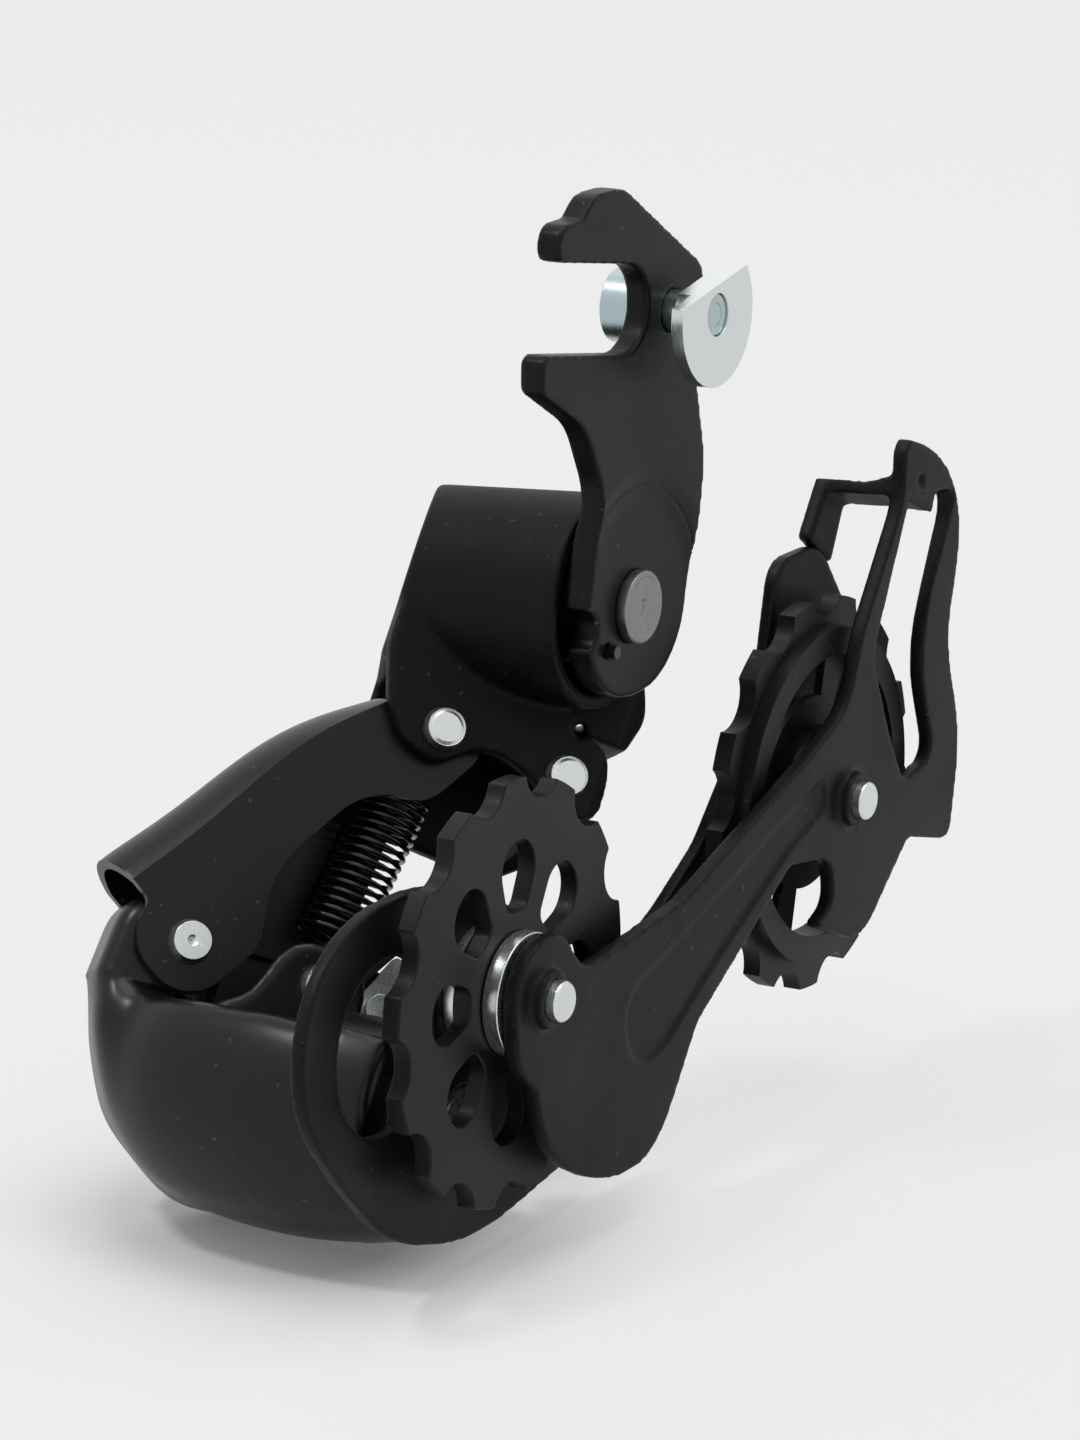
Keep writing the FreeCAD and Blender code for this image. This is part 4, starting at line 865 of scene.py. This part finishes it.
class DERAILLEUR_OT_screws(PieceOperator, bpy.types.Operator):
    """Limit screws and the barrel adjuster"""

    bl_idname = "derailleur.screws"
    bl_label = "Screws and adjuster"

    def execute(self, context):
        for node in ("limit_screw_high", "limit_screw_low"):
            edged_copy(node, "zinc", sizes().steel_edge)
        edged_copy("barrel_adjuster", "resin", 2 * sizes().steel_edge)
        return {"FINISHED"}


class DERAILLEUR_OT_stage(PieceOperator, bpy.types.Operator):
    """Pale floor, soft studio light and the camera"""

    bl_idname = "derailleur.stage"
    bl_label = "Stage"

    def execute(self, context):
        make_floor()
        make_lights()
        make_camera()
        context.scene.view_settings.view_transform = "Standard"
        return {"FINISHED"}


# ---- stage ----
CAMERA_PLACE = Vector((541.95, 303.38, 114.14)) * MM
CAMERA_RIGHT = Vector((-0.50256, 0.86454, 0.0))
CAMERA_UP = Vector((-0.21999, -0.12788, 0.96708))
CAMERA_BACK = Vector((0.83608, 0.48601, 0.25446))
LENS = 135.6
SENSOR_HEIGHT = 36.0
NEAREST_SEEN = 0.01

# Softboxes round the aim: name, offset in metres, side of the square in metres, watts.
LAMP_AIM = Vector((0.0, -15.0, -55.0)) * MM
LAMPS = (
    ("key", (1.1, -0.9, 2.6), 0.42, 22.0),
    ("top", (-0.3, 0.4, 3.2), 2.2, 34.0),
    ("rear", (-1.8, -1.4, 2.2), 1.9, 4.0),
)
WORLD_SEEN, WORLD_LIGHT = 0.85, 0.5

FLOOR_HALF_SIZE = 6.0
FLOOR_GAP = 0.05 * MM
FLOOR_CLOUD_CELLS, FLOOR_DULLER, FLOOR_ROUGH = 3.0, 0.99, 0.9

# Share of the floor's own glow where it is seen. It falls off towards the spot that the
# object rests on, so the contact shadow stays dark.
FLOOR_GLOW, NEAR_GLOW = 0.76, 0.12
GLOW_REACH = (20 * MM, 54 * MM)
REST_SPOT = Vector((38.0, -30.0, 0.0)) * MM


def seen_directly(tree, seen, otherwise):
    """One strength where the camera or a reflection looks, another for what lights the object."""
    path = tree.nodes.new("ShaderNodeLightPath").outputs
    direct = math_of(tree, "MAXIMUM", path["Is Camera Ray"], path["Is Transmission Ray"])
    mirrored = math_of(tree, "MAXIMUM", direct, path["Is Glossy Ray"])
    return ramp(tree, mirrored, 0.0, 1.0, otherwise, seen)


def make_floor():
    """Pale floor just under the object."""
    low = Vector(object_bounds()[0])
    form = bmesh.new()
    bmesh.ops.create_grid(form, x_segments=2, y_segments=2, size=FLOOR_HALF_SIZE)
    bmesh.ops.translate(form, vec=(0, 0, low.z - FLOOR_GAP), verts=form.verts)
    mesh = bpy.data.meshes.new("floor")
    form.to_mesh(mesh)
    form.free()
    floor = bpy.data.objects.new("floor", mesh)
    bpy.context.scene.collection.objects.link(floor)
    material, tree, shader, place = shader_nodes("pale_floor")
    cloud = noise(tree, place, FLOOR_CLOUD_CELLS, 2.0)
    tone = tuple(colours().backdrop)
    duller = tuple(FLOOR_DULLER * channel for channel in tone)
    tree.links.new(mix(tree, cloud, tone, duller), shader.inputs["Base Color"])
    shader.inputs["Roughness"].default_value = FLOOR_ROUGH
    glow = tree.nodes.new("ShaderNodeEmission")
    glow.inputs["Color"].default_value = (*tone, 1)
    away = tree.nodes.new("ShaderNodeVectorMath")
    away.operation = "DISTANCE"
    away.inputs[1].default_value = (REST_SPOT.x, REST_SPOT.y, low.z)
    tree.links.new(place, away.inputs[0])
    share = ramp(tree, away.outputs["Value"], *GLOW_REACH, NEAR_GLOW, FLOOR_GLOW)
    blend = tree.nodes.new("ShaderNodeMixShader")
    seen = seen_directly(tree, 1.0, 0.0)
    tree.links.new(math_of(tree, "MULTIPLY", seen, share), blend.inputs[0])
    tree.links.new(shader.outputs["BSDF"], blend.inputs[1])
    tree.links.new(glow.outputs["Emission"], blend.inputs[2])
    tree.links.new(blend.outputs["Shader"], tree.nodes["Material Output"].inputs["Surface"])
    floor.data.materials.append(material)
    floor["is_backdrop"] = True


def make_lights():
    """Even pale world and the softboxes."""
    world = bpy.data.worlds.new("studio")
    world.use_nodes = True
    tree = world.node_tree
    background = tree.nodes["Background"]
    background.inputs["Color"].default_value = (1, 1, 1, 1)
    strength = seen_directly(tree, WORLD_SEEN, WORLD_LIGHT)
    tree.links.new(strength, background.inputs["Strength"])
    bpy.context.scene.world = world
    for name, offset, side, watts in LAMPS:
        lamp = bpy.data.lights.new(name, "AREA")
        lamp.shape = "SQUARE"
        lamp.size = side
        lamp.energy = watts
        box = bpy.data.objects.new(name, lamp)
        box.location = LAMP_AIM + Vector(offset)
        box.rotation_euler = (LAMP_AIM - box.location).to_track_quat("-Z", "Y").to_euler()
        bpy.context.scene.collection.objects.link(box)


def make_camera():
    """Long lens, level with the horizon, looking down at the wheel side."""
    data = bpy.data.cameras.new("camera")
    data.sensor_fit = "VERTICAL"
    data.sensor_height = SENSOR_HEIGHT
    data.lens = LENS
    data.clip_start = NEAREST_SEEN
    camera = bpy.data.objects.new("camera", data)
    bpy.context.scene.collection.objects.link(camera)
    turn = Matrix((CAMERA_RIGHT, CAMERA_UP, CAMERA_BACK)).transposed().to_4x4()
    camera.matrix_world = Matrix.Translation(CAMERA_PLACE) @ turn
    bpy.context.scene.camera = camera


# ---- panel and registration ----
OPERATORS = (
    DERAILLEUR_OT_finishes,
    DERAILLEUR_OT_hanger,
    DERAILLEUR_OT_fixing,
    DERAILLEUR_OT_castings,
    DERAILLEUR_OT_links,
    DERAILLEUR_OT_pins,
    DERAILLEUR_OT_clamp,
    DERAILLEUR_OT_return_spring,
    DERAILLEUR_OT_cage,
    DERAILLEUR_OT_pulleys,
    DERAILLEUR_OT_pulley_fittings,
    DERAILLEUR_OT_screws,
    DERAILLEUR_OT_stage,
)


class DERAILLEUR_PT_panel(bpy.types.Panel):
    """Lists the sizes, colours and steps"""

    bl_idname = "DERAILLEUR_PT_panel"
    bl_label = "Derailleur"
    bl_space_type = "VIEW_3D"
    bl_region_type = "UI"
    bl_category = "Derailleur"

    def draw(self, context):
        for group in (context.scene.derailleur_sizes, context.scene.derailleur_colours):
            for name in group.__annotations__:
                self.layout.prop(group, name)
        for operator in OPERATORS:
            self.layout.operator(operator.bl_idname)


CLASSES = (DerailleurSizes, DerailleurColours, *OPERATORS, DERAILLEUR_PT_panel)


def register():
    for item in CLASSES:
        bpy.utils.register_class(item)
    bpy.types.Scene.derailleur_sizes = bpy.props.PointerProperty(type=DerailleurSizes)
    bpy.types.Scene.derailleur_colours = bpy.props.PointerProperty(type=DerailleurColours)


def unregister():
    del bpy.types.Scene.derailleur_colours
    del bpy.types.Scene.derailleur_sizes
    for item in reversed(CLASSES):
        bpy.utils.unregister_class(item)


def main():
    register()
    for operator in OPERATORS:
        group, name = operator.bl_idname.split(".")
        getattr(getattr(bpy.ops, group), name)()


if __name__ == "__main__":
    main()
